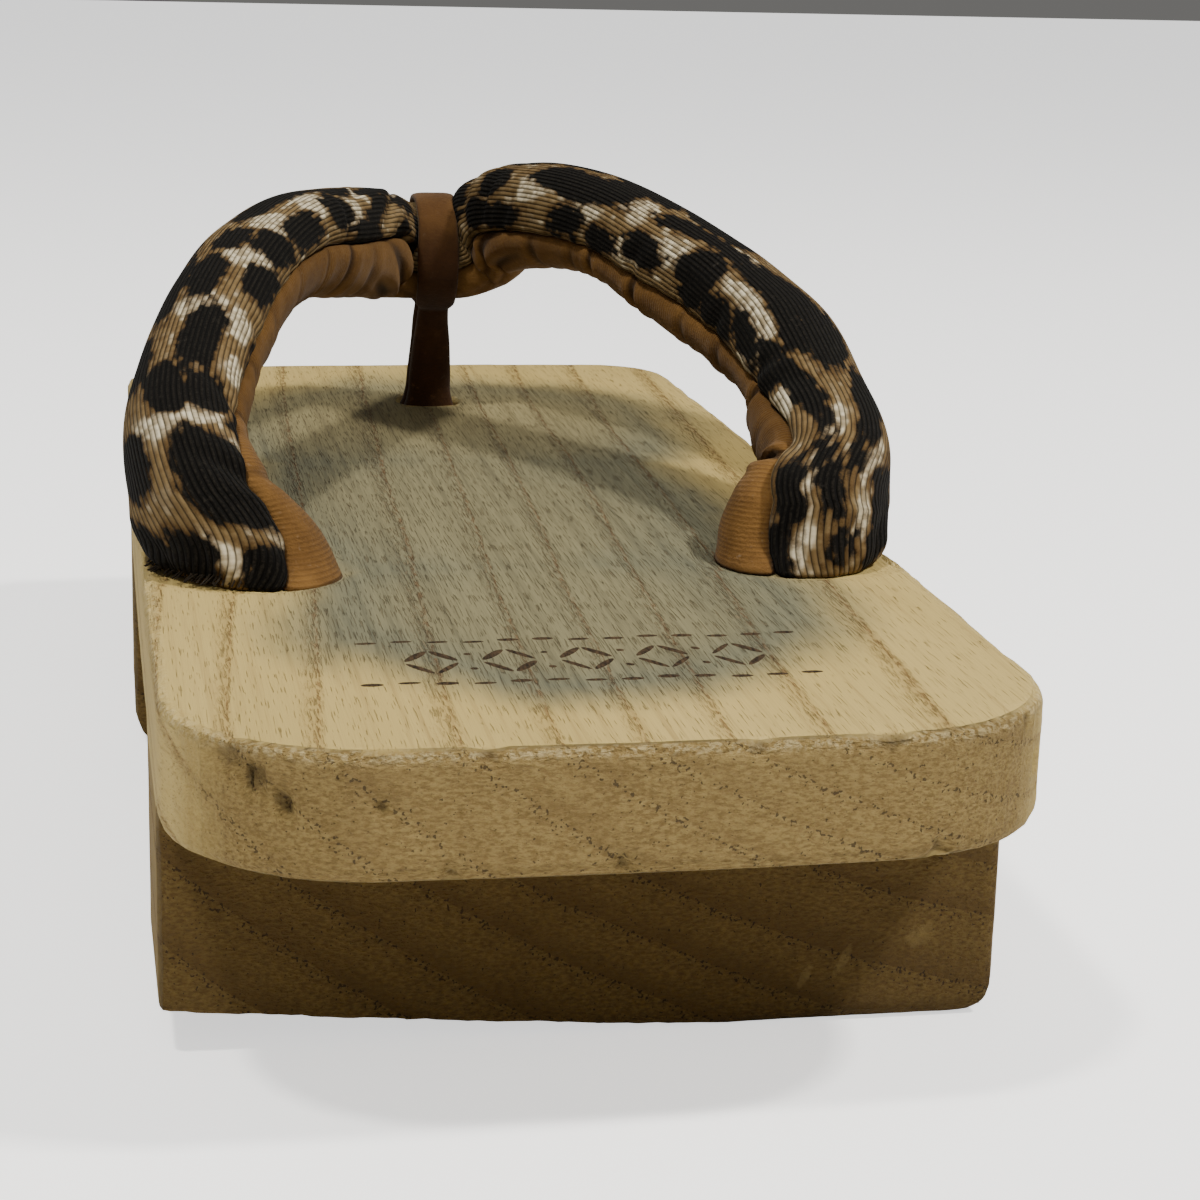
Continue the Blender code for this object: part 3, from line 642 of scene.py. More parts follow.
# Dark spots of the print: place along the roll, degrees round it, half length as a
# share of the roll, half width in degrees, and tilt
SPOTS = (
    (0.012, -88, 0.008, 5, 20), (0.017, -134, 0.009, 9, 15), (0.03, -90, 0.011, 9, 22),
    (0.038, -172, 0.02, 15, 20), (0.042, -111, 0.02, 8, 24), (0.012, -172, 0.008, 9, 0),
    (0.082, -125, 0.028, 14, -3), (0.092, -64, 0.03, 10, 20), (0.116, -34, 0.009, 14, 30),
    (0.128, -106, 0.027, 21, -12), (0.158, -30, 0.018, 12, 0), (0.178, -92, 0.026, 13, 5),
    (0.168, -73, 0.036, 8, 0), (0.192, -18, 0.02, 14, 0), (0.226, -42, 0.018, 21, 0),
    (0.223, -12, 0.014, 9, 20), (0.236, -77, 0.018, 8, 0), (0.268, -72, 0.016, 9, 0),
    (0.262, -105, 0.03, 14, 0), (0.276, -22, 0.014, 14, 0), (0.3, -92, 0.015, 10, 0),
    (0.33, -102, 0.022, 12, -10), (0.352, -60, 0.034, 19, 0), (0.326, -77, 0.016, 14, 0),
    (0.312, -8, 0.013, 12, 0), (0.351, -8, 0.012, 12, 0), (0.406, -5, 0.017, 9, 0),
    (0.424, -44, 0.01, 17, 0), (0.41, -88, 0.02, 9, 0), (0.44, -8, 0.01, 11, 0), (0.461, -48, 0.009, 40, 0),
    (0.372, -104, 0.02, 11, 0), (0.671, -44, 0.013, 18, 0), (0.72, -42, 0.017, 15, 0),
    (0.706, -98, 0.028, 13, -5), (0.767, -92, 0.013, 17, 0), (0.762, -55, 0.013, 19, 0),
    (0.801, -42, 0.013, 16, 0), (0.812, -95, 0.02, 16, 0), (0.82, -130, 0.03, 13, 0),
    (0.872, -79, 0.029, 15, 0), (0.875, -142, 0.02, 12, 0), (0.907, -111, 0.012, 18, 0),
    (0.908, -72, 0.012, 15, 0), (0.94, -170, 0.017, 20, -10), (0.953, -101, 0.02, 27, -26),
    (0.934, -50, 0.008, 13, 0), (0.962, -84, 0.012, 6, -26), (0.98, -206, 0.015, 22, 0),
    (0.984, -172, 0.014, 15, -26), (0.991, -125, 0.012, 13, -20), (0.873, -18, 0.016, 9, 0),
    (0.64, -14, 0.016, 9, 0), (0.595, -66, 0.022, 9, 5), (0.612, -38, 0.018, 7, 12),
    (0.645, -72, 0.014, 11, 0), (0.553, -46, 0.012, 10, 0), (0.54, -80, 0.01, 10, 0),
    (0.535, -20, 0.008, 16, 0), (0.575, -14, 0.01, 8, 10),
)
MM_PER_DEGREE = 0.15
ROLL_MM = 278
SPOT_SPACING = 6.5
# The seam's stitches, the hem that curls in under them, and the cloth's slack
STITCH = 0.0042
STITCH_DEPTH = 0.00018
HEM_CURL = 0.0011
HEM_TUCK = 0.0025
SLACK_DEPTH = 0.0006
# How far the roll swells at the toe band, tucks in at a hole and bellies out above it
SWELL = 0.0002
HOLE_TUCK = 0.0022
HOLE_BELLY = 0.0006
INK = (0.0026, 0.0022, 0.0018)
# Painted highlight colour for the rib crests in the black spots
INK_CREST_HIGHLIGHT = (0.017, 0.0145, 0.011)
FRINGE = (0.075, 0.041, 0.014)
PRINT_TAN = (0.175, 0.118, 0.053)
PRINT_CREAM = (0.4, 0.33, 0.205)
PRINT_WHITE = (0.62, 0.55, 0.4)


def node_group(name, sort, inputs, outputs):
    """An empty group of nodes with named sockets, and a Paint for its tree."""
    tree = bpy.data.node_groups.new(name, sort + "NodeTree")
    for direction, sockets in (("INPUT", inputs), ("OUTPUT", outputs)):
        for label, kind in sockets.items():
            tree.interface.new_socket(label, in_out=direction, socket_type="NodeSocket" + kind)
    given = tree.nodes.new("NodeGroupInput").outputs
    made = tree.nodes.new("NodeGroupOutput").inputs
    return tree, Paint(tree), given, made


def lint_group():
    """Pale dust and lint that settle on any of the shoe's cloths."""
    tree, paint, given, made = node_group(
        "lint", "Shader", {"Vector": "Vector", "Color": "Color", "Amount": "Float"}, {"Color": "Color"})
    specks = paint.noise(given["Vector"], 900, 3, 0.7)
    haze = paint.noise(given["Vector"], 130, 3)
    share = paint.times(paint.span(specks, 0.6, 0.78), paint.span(haze, 0.35, 0.75))
    share = paint.times(share, given["Amount"])
    paint.feed(made["Color"], paint.mix(share, given["Color"], (0.42, 0.37, 0.29)))
    return tree


LINT = lint_group()


def linty(paint, at, colour, amount):
    """A cloth's colour under its dust."""
    return paint.node("ShaderNodeGroup", {"Vector": at, "Color": colour, "Amount": amount}, node_tree=LINT)


def weave_place(paint):
    """The cloth's own map: mm along the roll and ribs round it."""
    return paint.split(paint.node("ShaderNodeUVMap", uv_map="weave"))[:2]


def ribbed_print():
    """Black spots in a cream and tan net, on cloth with raised ribs; painted shade darkens the grooves
    between ribs and a painted highlight lightens the rib crests in the black.
    """
    paint = material("ribbed_print_cloth", 0.9, sheen=0.02, specular=0.08)
    spot = paint.stored("spot")
    pale_share = paint.stored("pale")
    along, across = weave_place(paint)
    at = paint.place()
    rib = paint.math("FLOOR", across)
    lane = paint.node("ShaderNodeCombineXYZ", {0: along, 1: paint.times(rib, 17.3)})
    jag = paint.noise(paint.stretch(lane, (0.42, 1, 1)), 1.0, 1.0)
    fleck = paint.noise(paint.stretch(lane, (0.55, 1, 1), (40, 0, 0)), 1.0, 2.0, 0.6)
    cast = paint.noise(paint.stretch(lane, (0.3, 1, 1), (90, 0, 0)), 1.0, 1.0)
    speck = paint.noise(at, 2600, 3, 0.6)
    edge = paint.swing(jag, 3.4, spot)
    edge = paint.swing(speck, 0.9, edge)
    phase = paint.math("FRACT", across)
    crest = paint.math("POWER", paint.math("SINE", paint.times(phase, math.pi)), 0.8)
    # Painted highlight: rib crests in the black spots are lightened in speckled patches, for the light the
    # ribs catch
    rub_and_crest_highlight = paint.times(paint.span(speck, 0.3, 0.75), paint.span(crest, 0.6, 1.0))
    black = paint.mix(rub_and_crest_highlight, INK, INK_CREST_HIGHLIGHT)
    pale = paint.mix(paint.span(fleck, 0.3, 0.7), PRINT_CREAM, PRINT_WHITE)
    bright = paint.swing(cast, 1.5, pale_share)
    ground = paint.mix(paint.span(bright, 0.08, 0.5), PRINT_TAN, pale)
    ground = paint.lay(paint.span(fleck, 0.58, 0.38), 0.4, ground, FRINGE)
    ground = paint.lay(paint.span(edge, -0.95, -0.1), 0.8, ground, FRINGE)
    colour = paint.mix(paint.span(edge, -0.25, 0.3), ground, black)
    # Painted shade: the grooves between the ribs are darkened toward INK
    colour = paint.lay(paint.span(crest, 0.7, 0.1), 0.72, colour, INK)
    thread = paint.scaled(paint.noise(at, 3600, 2, 0.6), 0.35, crest)
    return paint.finish(linty(paint, at, colour, 0.08), thread, 0.9, 0.00028)


def from_mark(share, degrees, length, place, turn, tilt):
    """Mm along and across a tilted mark from its middle, for places on the roll."""
    du = (share - place) * length * 1000
    dv = (degrees - turn) * MM_PER_DEGREE
    c, s = math.cos(math.radians(tilt)), math.sin(math.radians(tilt))
    return du * c + dv * s, dv * c - du * s


def fold_depth(folds, share, degrees, length):
    """How deep the folds press a skin at places along and round the roll."""
    total = np.zeros(np.broadcast(share, degrees).shape)
    for place, turn, half_long, half_wide, tilt, depth in folds:
        run, off = from_mark(share, degrees, length, place, turn, tilt)
        off = off / half_wide
        shape = np.exp(-off**2) - 0.42 * np.exp(-(np.abs(off) - 1.9)**2)
        total += depth * 0.001 * np.exp(-(run / half_long)**2) * shape
    return total


def spot_depth(share, degrees, length):
    """Signed distance in mm from the edge of the nearest dark spot, more inside."""
    spots = list(SPOTS)
    draw = random.Random(23)
    for k in range(24):
        for turn in range(-352, -118, 27):
            place = (k + draw.uniform(0.15, 0.85)) / 24
            around = turn + draw.uniform(-8, 8)
            seen = -150 if 0.06 < place < 0.92 else -195
            clear = all(math.hypot((place - q[0]) * ROLL_MM, (around - q[1]) * MM_PER_DEGREE) > SPOT_SPACING
                        for q in SPOTS)
            if around < seen + 25 and clear:
                sizes = [draw.uniform(low, high) for low, high in ((0.012, 0.024), (9, 15), (-15, 15))]
                spots.append((place, around, *sizes))
    best = np.full(share.shape, -9.0)
    for place, turn, half_long, half_wide, tilt in spots:
        run, off = from_mark(share, degrees, length, place, turn, tilt)
        along, across = half_long * length * 1000, half_wide * MM_PER_DEGREE
        away = (np.abs(run / along)**2.6 + np.abs(off / across)**2.6)**(1 / 2.6)
        best = np.maximum(best, (1 - away) * min(along, across) * 1.1)
    return best


def bulges(table, share, degrees):
    """Soft patches from 0 to 1 at listed places along and round the roll."""
    total = np.zeros(share.shape)
    for place, turn, half_long, half_wide in table:
        run, off = (share - place) / half_long, (degrees - turn) / half_wide
        total = np.maximum(total, np.exp(-(run * run + off * off)**1.5))
    return total


def add_values(mesh, **layers):
    """Stores a value at each point of a skin's rows."""
    for name, values in layers.items():
        flat = np.concatenate([values.ravel(), [0, 0]]).astype(np.float32)
        mesh.attributes.new(name, "FLOAT", "POINT").data.foreach_set("value", flat)


def slackness(share, degrees, length, size_u, size_v, seed):
    """Soft random values round 0 over the roll, in cells of two sizes in metres."""
    return lattice(share * length, degrees * MM_PER_DEGREE * 0.001, size_u, size_v, seed) - 0.5


def stitch_pull(share, length):
    """From 0 to 1 and back at each stitch of the seam."""
    return 0.5 + 0.5 * np.cos(math.tau * share * length / STITCH)


def make_cover():
    course = strap_course(COVER_RINGS)
    length = course["length"]
    share = np.repeat(np.linspace(0, 1, COVER_RINGS)[:, None], COVER_POINTS, axis=1)
    lead = read_off(RIB_TURN, share[:, :1])
    degrees = lead + np.arange(COVER_POINTS)[None, :] * 360 / COVER_POINTS - 360
    from_lining = np.abs((degrees - np.degrees(course["turn"])[:, None] + 180) % 360 - 180)
    from_seam = (from_lining - math.degrees(LINING_SPREAD)) * MM_PER_DEGREE
    roll = 1 - np.clip(from_seam / 1.5, 0, 1)
    inset = HEM_CURL * (1 - np.sqrt(1 - roll**2)) + HEM_TUCK * np.clip(-from_seam / 0.9, 0, 1)
    shown = np.clip(from_seam / 0.8 + 0.6, 0, 1)
    inset += fold_depth(COVER_FOLDS, share, degrees, length) * shown
    inset += STITCH_DEPTH * stitch_pull(share, length) * np.exp(-(from_seam / 1.6)**2)
    inset += slackness(share, degrees, length, 0.011, 0.007, 3) * SLACK_DEPTH * shown
    inset -= SWELL * np.exp(-((share - 0.5) * length / 0.0055)**2) * shown
    from_deck = np.minimum(share, 1 - share) * length
    outer = 0.3 + 0.7 * np.clip(-np.cos(np.radians(degrees)), 0, 1)
    inset += HOLE_TUCK * np.clip(1 - from_deck / 0.0046, 0, 1)**2 * outer * shown
    inset -= HOLE_BELLY * np.exp(-((from_deck - 0.0095) / 0.004)**2) * outer * shown
    rows = strap_surface(course, np.radians(degrees), inset)
    mesh = skin("print_cover", rows, RIBS, length * 1000 / (COVER_RINGS - 1))
    wobble = slackness(share, degrees, length, 0.006, 0.004, 9)
    spot = spot_depth(share, degrees, length) + 0.55 + wobble * 1.7
    add_values(mesh, spot=spot, pale=bulges(PALE_PATCHES, share, degrees))
    return mesh


cover = put("print_cover", make_cover(), ribbed_print())
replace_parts(cover, "strap_cover")


# Strap lining: a strip of brown velveteen sewn along the roll's inner and under side.
# It was cut a little long, so it puffs between gathers.
LINING_RINGS = 460
LINING_POINTS = 41
LINING_RIBS = 82
# How far the strip lies under the roll's outline, as share along the roll and mm
LINING_SINK = (
    (0.0, 0.6), (0.01, -0.9), (0.022, -1.8), (0.036, -1.9), (0.048, -0.6), (0.06, 0.3), (0.078, -0.7),
    (0.1, -1.0), (0.118, -0.5), (0.135, 0.9), (0.165, 0.9), (0.2, 0.3), (0.25, -0.3), (0.3, 0.0),
    (0.34, 0.6), (0.38, 0.7), (0.42, 0.2), (0.47, 0.0), (0.53, 0.0), (0.6, 0.0), (0.65, 0.2), (0.7, 0.5),
    (0.76, 0.8), (0.82, 0.8), (0.88, 0.4), (0.93, 0.6), (0.955, 0.3), (0.968, -0.7), (0.984, -0.9),
    (0.993, -0.3), (1.0, 0.5),
)
# Gathers of the lining, in the same columns as the cover's folds
GATHERS = (
    (0.054, -20, 9.0, 0.9, 84, 2.1), (0.09, 20, 8.0, 1.1, 86, 0.35), (0.126, 8, 8.0, 1.0, 84, 1.3),
    (0.19, 35, 8.0, 1.1, 80, 0.5), (0.232, 32, 8.0, 1.0, 84, 0.4), (0.281, 30, 9.0, 0.9, 88, 1.1),
    (0.33, 40, 8.0, 0.9, 80, 0.8), (0.352, 45, 6.0, 0.8, 70, 0.45), (0.388, 50, 8.0, 1.3, 76, 0.55),
    (0.438, 60, 11.0, 1.3, 14, 0.7), (0.442, 28, 12.0, 1.3, 24, 0.9), (0.462, 12, 5.0, 1.0, 30, 0.6),
    (0.535, 10, 6.0, 1.0, -32, 0.7), (0.558, 28, 12.0, 1.3, -24, 0.9), (0.562, 62, 12.0, 1.3, -14, 0.8),
    (0.622, 40, 8.0, 1.5, -76, 0.4), (0.66, 20, 8.0, 1.2, 86, 0.8), (0.694, 14, 7.0, 1.0, 84, 0.45),
    (0.742, 10, 7.0, 1.1, 82, 0.3), (0.8, 5, 7.0, 1.2, 80, 0.3), (0.85, 0, 7.0, 1.2, 82, 0.35),
    (0.905, -10, 8.0, 1.2, 84, 0.5), (0.953, -52, 8.0, 1.0, 80, 0.4),
)
BROWN_DEEP = (0.058, 0.0255, 0.0065)
BROWN_BRIGHT = (0.208, 0.107, 0.03)
# Where the toe band crosses the strip, in mm along it
THROAT_PLACE = 138.0


def nap_group():
    """Cotton pile: patches where the nap turns, and the pile itself."""
    tree, paint, given, made = node_group("nap", "Shader", {"Vector": "Vector", "Deep": "Color",
                                                            "Bright": "Color"},
                                          {"Color": "Color", "Height": "Float"})
    patches = paint.noise(given["Vector"], 150, 4, 0.6)
    pile = paint.noise(given["Vector"], 3200, 2, 0.6)
    rows = paint.noise(paint.stretch(given["Vector"], (1, 1, 2.2)), 1100, 1.5, 0.5)
    tone = paint.scaled(pile, 0.35, paint.times(paint.span(patches, 0.25, 0.75), 0.45))
    tone = paint.scaled(rows, 0.3, tone)
    paint.feed(made["Color"], paint.mix(tone, given["Deep"], given["Bright"]))
    paint.feed(made["Height"], paint.scaled(rows, 0.8, pile))
    return tree


NAP = nap_group()


def pile_of(paint, at, deep, bright):
    """Colour and height of a pile between its two colours."""
    made = paint.node("ShaderNodeGroup", {"Vector": at, "Deep": deep, "Bright": bright}, node_tree=NAP)
    return made, made.node.outputs["Height"]


def velveteen():
    """Brown pile, lighter where it rubs, with painted shade darkening its gathers."""
    paint = material("brown_velveteen", 0.9, sheen=0.06, specular=0.1)
    at = paint.place()
    worn = paint.stored("fold")
    nap, height = pile_of(paint, at, BROWN_DEEP, BROWN_BRIGHT)
    along = weave_place(paint)[0]
    wale = paint.math("SINE", paint.times(along, math.tau / 0.56))
    wale = paint.scaled(wale, 0.5, 0.5)
    bend = paint.math("ABSOLUTE", paint.less(along, THROAT_PLACE))
    wale = paint.times(wale, paint.span(bend, 30.0, 55.0))
    rub_and_crest_highlight = paint.noise(at, 240, 3)
    furrow = paint.times(paint.span(wale, 0.5, 0.95), paint.span(rub_and_crest_highlight, 0.7, 0.35, 0.0, 0.42))
    shade = paint.mix(furrow, nap, BROWN_DEEP)
    # Painted shade: the gathers are darkened toward near-black brown by their fold depth
    shade = paint.lay(paint.span(worn, 0.05, 0.7), 0.75, shade, (0.016, 0.006, 0.0015))
    return paint.finish(linty(paint, at, shade, 0.25), paint.scaled(wale, 0.35, height), 0.6, 0.00018)


def make_lining():
    course = strap_course(LINING_RINGS)
    length = course["length"]
    edge = LINING_SPREAD - 0.045
    wide = np.linspace(-1, 1, LINING_POINTS)
    share = np.repeat(np.linspace(0, 1, LINING_RINGS)[:, None], len(wide), axis=1)
    angles = edge * wide[None, :] + course["turn"][:, None]
    degrees = np.degrees(angles)
    sink = read_off(LINING_SINK, share[:, 0])
    sink = np.convolve(np.pad(sink, 4, mode="edge"), np.ones(9) / 9, mode="valid")[:, None] * 0.001
    across = np.abs(wide)[None, :]
    crown = np.clip(1 - across**3, 0, 1)
    folds = fold_depth(GATHERS, share, degrees, length)
    free = np.clip((np.abs(share - 0.5) - 0.07) / 0.1, 0, 1)
    slack = slackness(share, degrees, length, 0.006, 0.005, 31) * 0.0005 * free
    pucker = stitch_pull(share, length) * np.exp(-((1 - across) / 0.16)**2) * free
    outside = sink * crown + (folds + slack) * (0.35 + 0.65 * crown)
    outside += 0.001 * across**9 + STITCH_DEPTH * pucker
    outside = np.clip(outside, -0.0024, 0.0023)
    inside = np.full(outside.shape, 0.003)
    both = np.concatenate([angles, angles[:, ::-1]], axis=1)
    rows = strap_surface(course, both, np.concatenate([outside, inside], axis=1))
    mesh = skin("velveteen_lining", rows, LINING_RIBS, length * 1000 / (LINING_RINGS - 1))
    # The fold depth is stored to paint shade into the gathers
    add_values(mesh, fold=np.concatenate([folds * 1000, np.zeros(folds.shape)], axis=1))
    return mesh


lining = put("velveteen_lining", make_lining(), velveteen())
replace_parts(lining, "strap_lining")


# Toe band: a strip of dark velveteen folded over the front of the strap, with both
# legs going down the front hole. It is the post that sits between the toes.
FRONT_Y = 0.07945
JOIN_Y = 0.07465
BAND_WIDE = 0.0068
BAND_THICK = 0.0013
LEG_WIDE = 0.0064
LEG_THICK = 0.0033
# How the legs widen and thicken towards the hole, as height and factor
LEG_FLARE = ((0.044, 1.46), (0.0452, 1.3), (0.0475, 1.14), (0.058, 0.92), (0.0635, 0.8), (0.068, 1.0))
LEG_SWELL = ((0.044, 1.35), (0.0452, 1.2), (0.0475, 1.0))


def band_course():
    """The band's middle line as (y, z, leg share): up a leg, over the strap, down."""
    tall, deep, rise = 0.9 * TALL / 2, 0.72 * DEEP / 2, 0.765 * RISE
    middle = SEAT + rise
    room = 0.0003 + BAND_THICK / 2
    leg = (LEG_THICK + 0.0003) / 2
    front = [(FRONT_Y, DECK_UNDER + 0.0003), (FRONT_Y, DECK_TOP),
             (FRONT_Y - 0.00216, (DECK_TOP + middle - tall) / 2),
             (FRONT_Y - 0.00456, middle - tall - 1.8 * room)]
    rows = [(y + leg, z, 1.0) for y, z in front]
    for degrees in (-58, -30, 0, 30, 60, 90, 120, 150, 180, 210, 238):
        c, s = math.cos(math.radians(degrees)), math.sin(math.radians(degrees))
        reach = (abs(c)**ROUNDNESS + abs(s)**ROUNDNESS)**(-1 / ROUNDNESS)
        across = deep + room + (0.001 if c < 0 else 0.0005)
        rows.append((JOIN_Y + c * reach * across, middle + s * reach * (tall + room + 0.0002), 0.0))
    return rows + [(y - leg, z, 1.0) for y, z in reversed(front)]


def make_band():
    rows = band_course()
    line = np.array([(FRONT_SIDE, y, z) for y, z, _ in rows])
    legs = np.array([row[2] for row in rows])
    count, sides = 190, 30
    places, length = even_places(line, count)
    along = headings(line, places)
    normal = np.stack([np.zeros(count), -along[:, 2], along[:, 1]], axis=1)
    middle = through(line, places)
    leg = np.clip(through(legs, places), 0, 1)
    flare = read_off(LEG_FLARE, middle[:, 2])
    wide = (BAND_WIDE + leg * (LEG_WIDE - BAND_WIDE)) / 2 * (1 + (flare - 1) * np.clip(leg * 2, 0, 1))
    thick = (BAND_THICK + leg * (LEG_THICK - BAND_THICK)) / 2
    thick = thick * read_off(LEG_SWELL, middle[:, 2])
    angle = np.arange(sides) / sides * math.tau
    c, s = np.cos(angle), np.sin(angle)
    reach = (np.abs(c)**3 + np.abs(s)**3)**(-1 / 3)
    run = np.linspace(0, length, count)[:, None]
    run = np.repeat(run, sides, axis=1)
    slack = lattice(run, c[None, :] * wide[:, None], 0.0045, 0.0028, 41) - 0.5
    ripple = 1 + 0.26 * slack
    points = middle[:, None] + normal[:, None] * ((s * reach)[None, :] * thick[:, None] * ripple)[..., None]
    stray = lattice(run, np.repeat(0.01 * np.sign(c)[None, :], count, axis=0), 0.005, 1, 43) - 0.5
    edge = (c * reach)[None, :] * wide[:, None] * (1 + 0.1 * stray)
    points[..., 0] += edge
    return skin("toe_band_cloth", points)


def dark_velveteen():
    """The same pile: brown on top of the strap, with painted shade making it dark lower down, where toes grip
    it.
    """
    paint = material("dark_velveteen", 0.9, sheen=0.12, specular=0.12)
    at = paint.place()
    blur = paint.noise(at, 190, 3)
    height = paint.swing(blur, 0.006, paint.split(at)[2])
    # Painted shade: below the strap's top the band blends to a darker copy of its pile
    painted_shade_share = paint.span(height, 0.0775, 0.0715)
    upper, relief = pile_of(paint, at, (0.044, 0.0175, 0.0042), (0.11, 0.053, 0.0145))
    shaded_pile, _ = pile_of(paint, at, (0.014, 0.0052, 0.0014), (0.058, 0.0225, 0.0056))
    rub_and_crest_highlight = paint.times(paint.span(paint.noise(at, 420, 3), 0.58, 0.72), paint.span(height, 0.062, 0.05))
    colour = paint.lay(rub_and_crest_highlight, 0.5, paint.mix(painted_shade_share, upper, shaded_pile), (0.13, 0.062, 0.024))
    return paint.finish(linty(paint, at, colour, 0.15), relief, 0.5, 0.00015)


band = put("toe_band_cloth", make_band(), dark_velveteen())
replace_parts(band, "toe_band")


# Tie cords: three-strand hemp cord that holds the straps. Each comes down through its
# hole, is knotted under the deck and ends in two short tails.
CORD_RADIUS = 0.0017
SHANK_RADIUS = 0.0029
KNOT_SIZE = 0.0022
KNOT_RISE = 0.002
KNOT_Z = 0.0256
TAIL_REACH = 0.014
TAIL_BEND = 0.0012
TAIL_DROP = 0.0014
# Degrees between a knot's two tails
TAIL_SPREAD = 140
HOLES = (("left_tie_cord", -HOLE_SIDE, HOLE_Y, True, -120), ("right_tie_cord", HOLE_SIDE, HOLE_Y, True, 160),
         ("front_tie_cord", FRONT_SIDE, FRONT_Y, False, 20))


def cord_rows(line, radius, lay=0.0075):
    """Rings of a three-strand cord along a line of points."""
    line = np.array(line)
    along = unit(np.gradient(line, axis=0))
    run = lengths_along(line)
    side = np.cross(along[0], (0.31, 0.52, 0.79))
    angle = np.arange(18) / 18 * math.tau
    rows = []
    for point, heading, gone in zip(line, along, run):
        side = side - heading * (side @ heading)
        side /= np.linalg.norm(side)
        over = np.cross(heading, side)
        strand = np.abs(np.cos(1.5 * (angle - gone / lay * math.tau)))
        reach = radius * (0.76 + 0.24 * strand**0.6)
        rows.append(point + reach[:, None] * (np.cos(angle)[:, None] * side + np.sin(angle)[:, None] * over))
    return np.array(rows)


def make_cord(name, x, y, shank, tail_turn):
    turns = np.linspace(0, math.tau, 150)
    reach = (2 + np.cos(3 * turns)) * KNOT_SIZE
    knot = np.stack([x + reach * np.cos(2 * turns), y + reach * np.sin(2 * turns),
                     KNOT_Z + KNOT_RISE * np.sin(3 * turns)], axis=1)
    lines = [(knot, CORD_RADIUS)]
    for turn in (tail_turn, tail_turn + TAIL_SPREAD):
        heading = np.array((math.cos(math.radians(turn)), math.sin(math.radians(turn)), 0))
        steps = np.linspace(0.2, 1, 26)[:, None]
        bend = np.array((-heading[1], heading[0], 0)) * TAIL_BEND * np.sin(steps * 4)
        drop = np.array((0, 0, -TAIL_DROP)) * steps**2
        tail = np.array((x, y, KNOT_Z)) + heading * TAIL_REACH * steps + bend + drop
        lines.append((tail, CORD_RADIUS * 0.95))
    if shank:
        rise = np.linspace(KNOT_Z, DECK_TOP - 0.0004, 30)
        lines.append((np.stack([np.full(30, x), np.full(30, y), rise], axis=1), SHANK_RADIUS))
    whole = bmesh.new()
    for line, radius in lines:
        strand = skin(name, cord_rows(line, radius))
        whole.from_mesh(strand)
        bpy.data.meshes.remove(strand)
    mesh = bpy.data.meshes.new(name)
    whole.to_mesh(mesh)
    whole.free()
    mesh.shade_smooth()
    return mesh


def hemp():
    """Dull tan cord with darker soiled patches."""
    paint = material("hemp_cord", 0.9, sheen=0.1, specular=0.15)
    at = paint.place()
    fibre = paint.noise(at, 1900, 3, 0.6)
    soil = paint.noise(at, 260, 3, 0.6)
    colour = paint.mix(fibre, (0.21, 0.145, 0.07), (0.42, 0.32, 0.18))
    colour = paint.lay(paint.span(soil, 0.45, 0.7), 0.6, colour, (0.1, 0.068, 0.036))
    return paint.finish(colour, fibre, 0.6, 0.0002)


cord_paint = hemp()
for cord_node, hole_x, hole_y, has_shank, first_tail in HOLES:
    cord_mesh = make_cord("hemp_" + cord_node, hole_x, hole_y, has_shank, first_tail)
    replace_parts(put("hemp_" + cord_node, cord_mesh, cord_paint), cord_node)


# Burnt ornament: short strokes pressed into the deck with a hot iron behind the straps.
# A row of small diamonds with dots between them, inside two dashed lines.
ORNAMENT_MIDDLE = (-0.0005, -0.084)
STROKE_WIDTH = 0.00052
STROKE_DEPTH = 0.00006
DIAMONDS = (-0.018, -0.009, 0.0, 0.009, 0.018)
# A diamond's half width and height, and the middles and half length of its four sides
DIAMOND_WIDE = 0.003
DIAMOND_TALL = 0.0045
SIDE_X = 0.0016
SIDE_Y = 0.0025
SIDE_HALF = 0.0025
DOT_SIDE = 0.003
DOT_HALF = 0.00045
DASHES = 13
DASH_STEP = 0.0042
DASH_START = -0.0252
DASH_SIDE = 0.0085
DASH_HALF = 0.0013


def stroke_places():
    """Place, heading and half length of each stroke."""
    flat = []
    for row in (-1, 1):
        for k in range(DASHES):
            x = k * DASH_STEP + DASH_START + row * 0.0005
            flat.append((x, row * DASH_SIDE + 0.0004 * math.sin(k * 1.7), 0.02, DASH_HALF))
    for x in DIAMONDS:
        for side_x, side_y in ((-1, 1), (1, 1), (1, -1), (-1, -1)):
            heading = math.atan2(DIAMOND_TALL * -side_x * side_y, DIAMOND_WIDE)
            flat.append((x + side_x * SIDE_X, side_y * SIDE_Y, heading, SIDE_HALF))
    for a, b in zip(DIAMONDS, DIAMONDS[1:]):
        for y in (-DOT_SIDE, DOT_SIDE):
            flat.append(((a + b) / 2, y, 0.5, DOT_HALF))
    middle_x, middle_y = ORNAMENT_MIDDLE
    return [(middle_x + x, middle_y + y, DECK_TOP, heading, half) for x, y, heading, half in flat]


def lens(hand):
    """A flat grain of charred wood, one unit in radius."""
    return hand.node("GeometryNodeMeshIcoSphere", {"Radius": 1.0, "Subdivisions": 3})


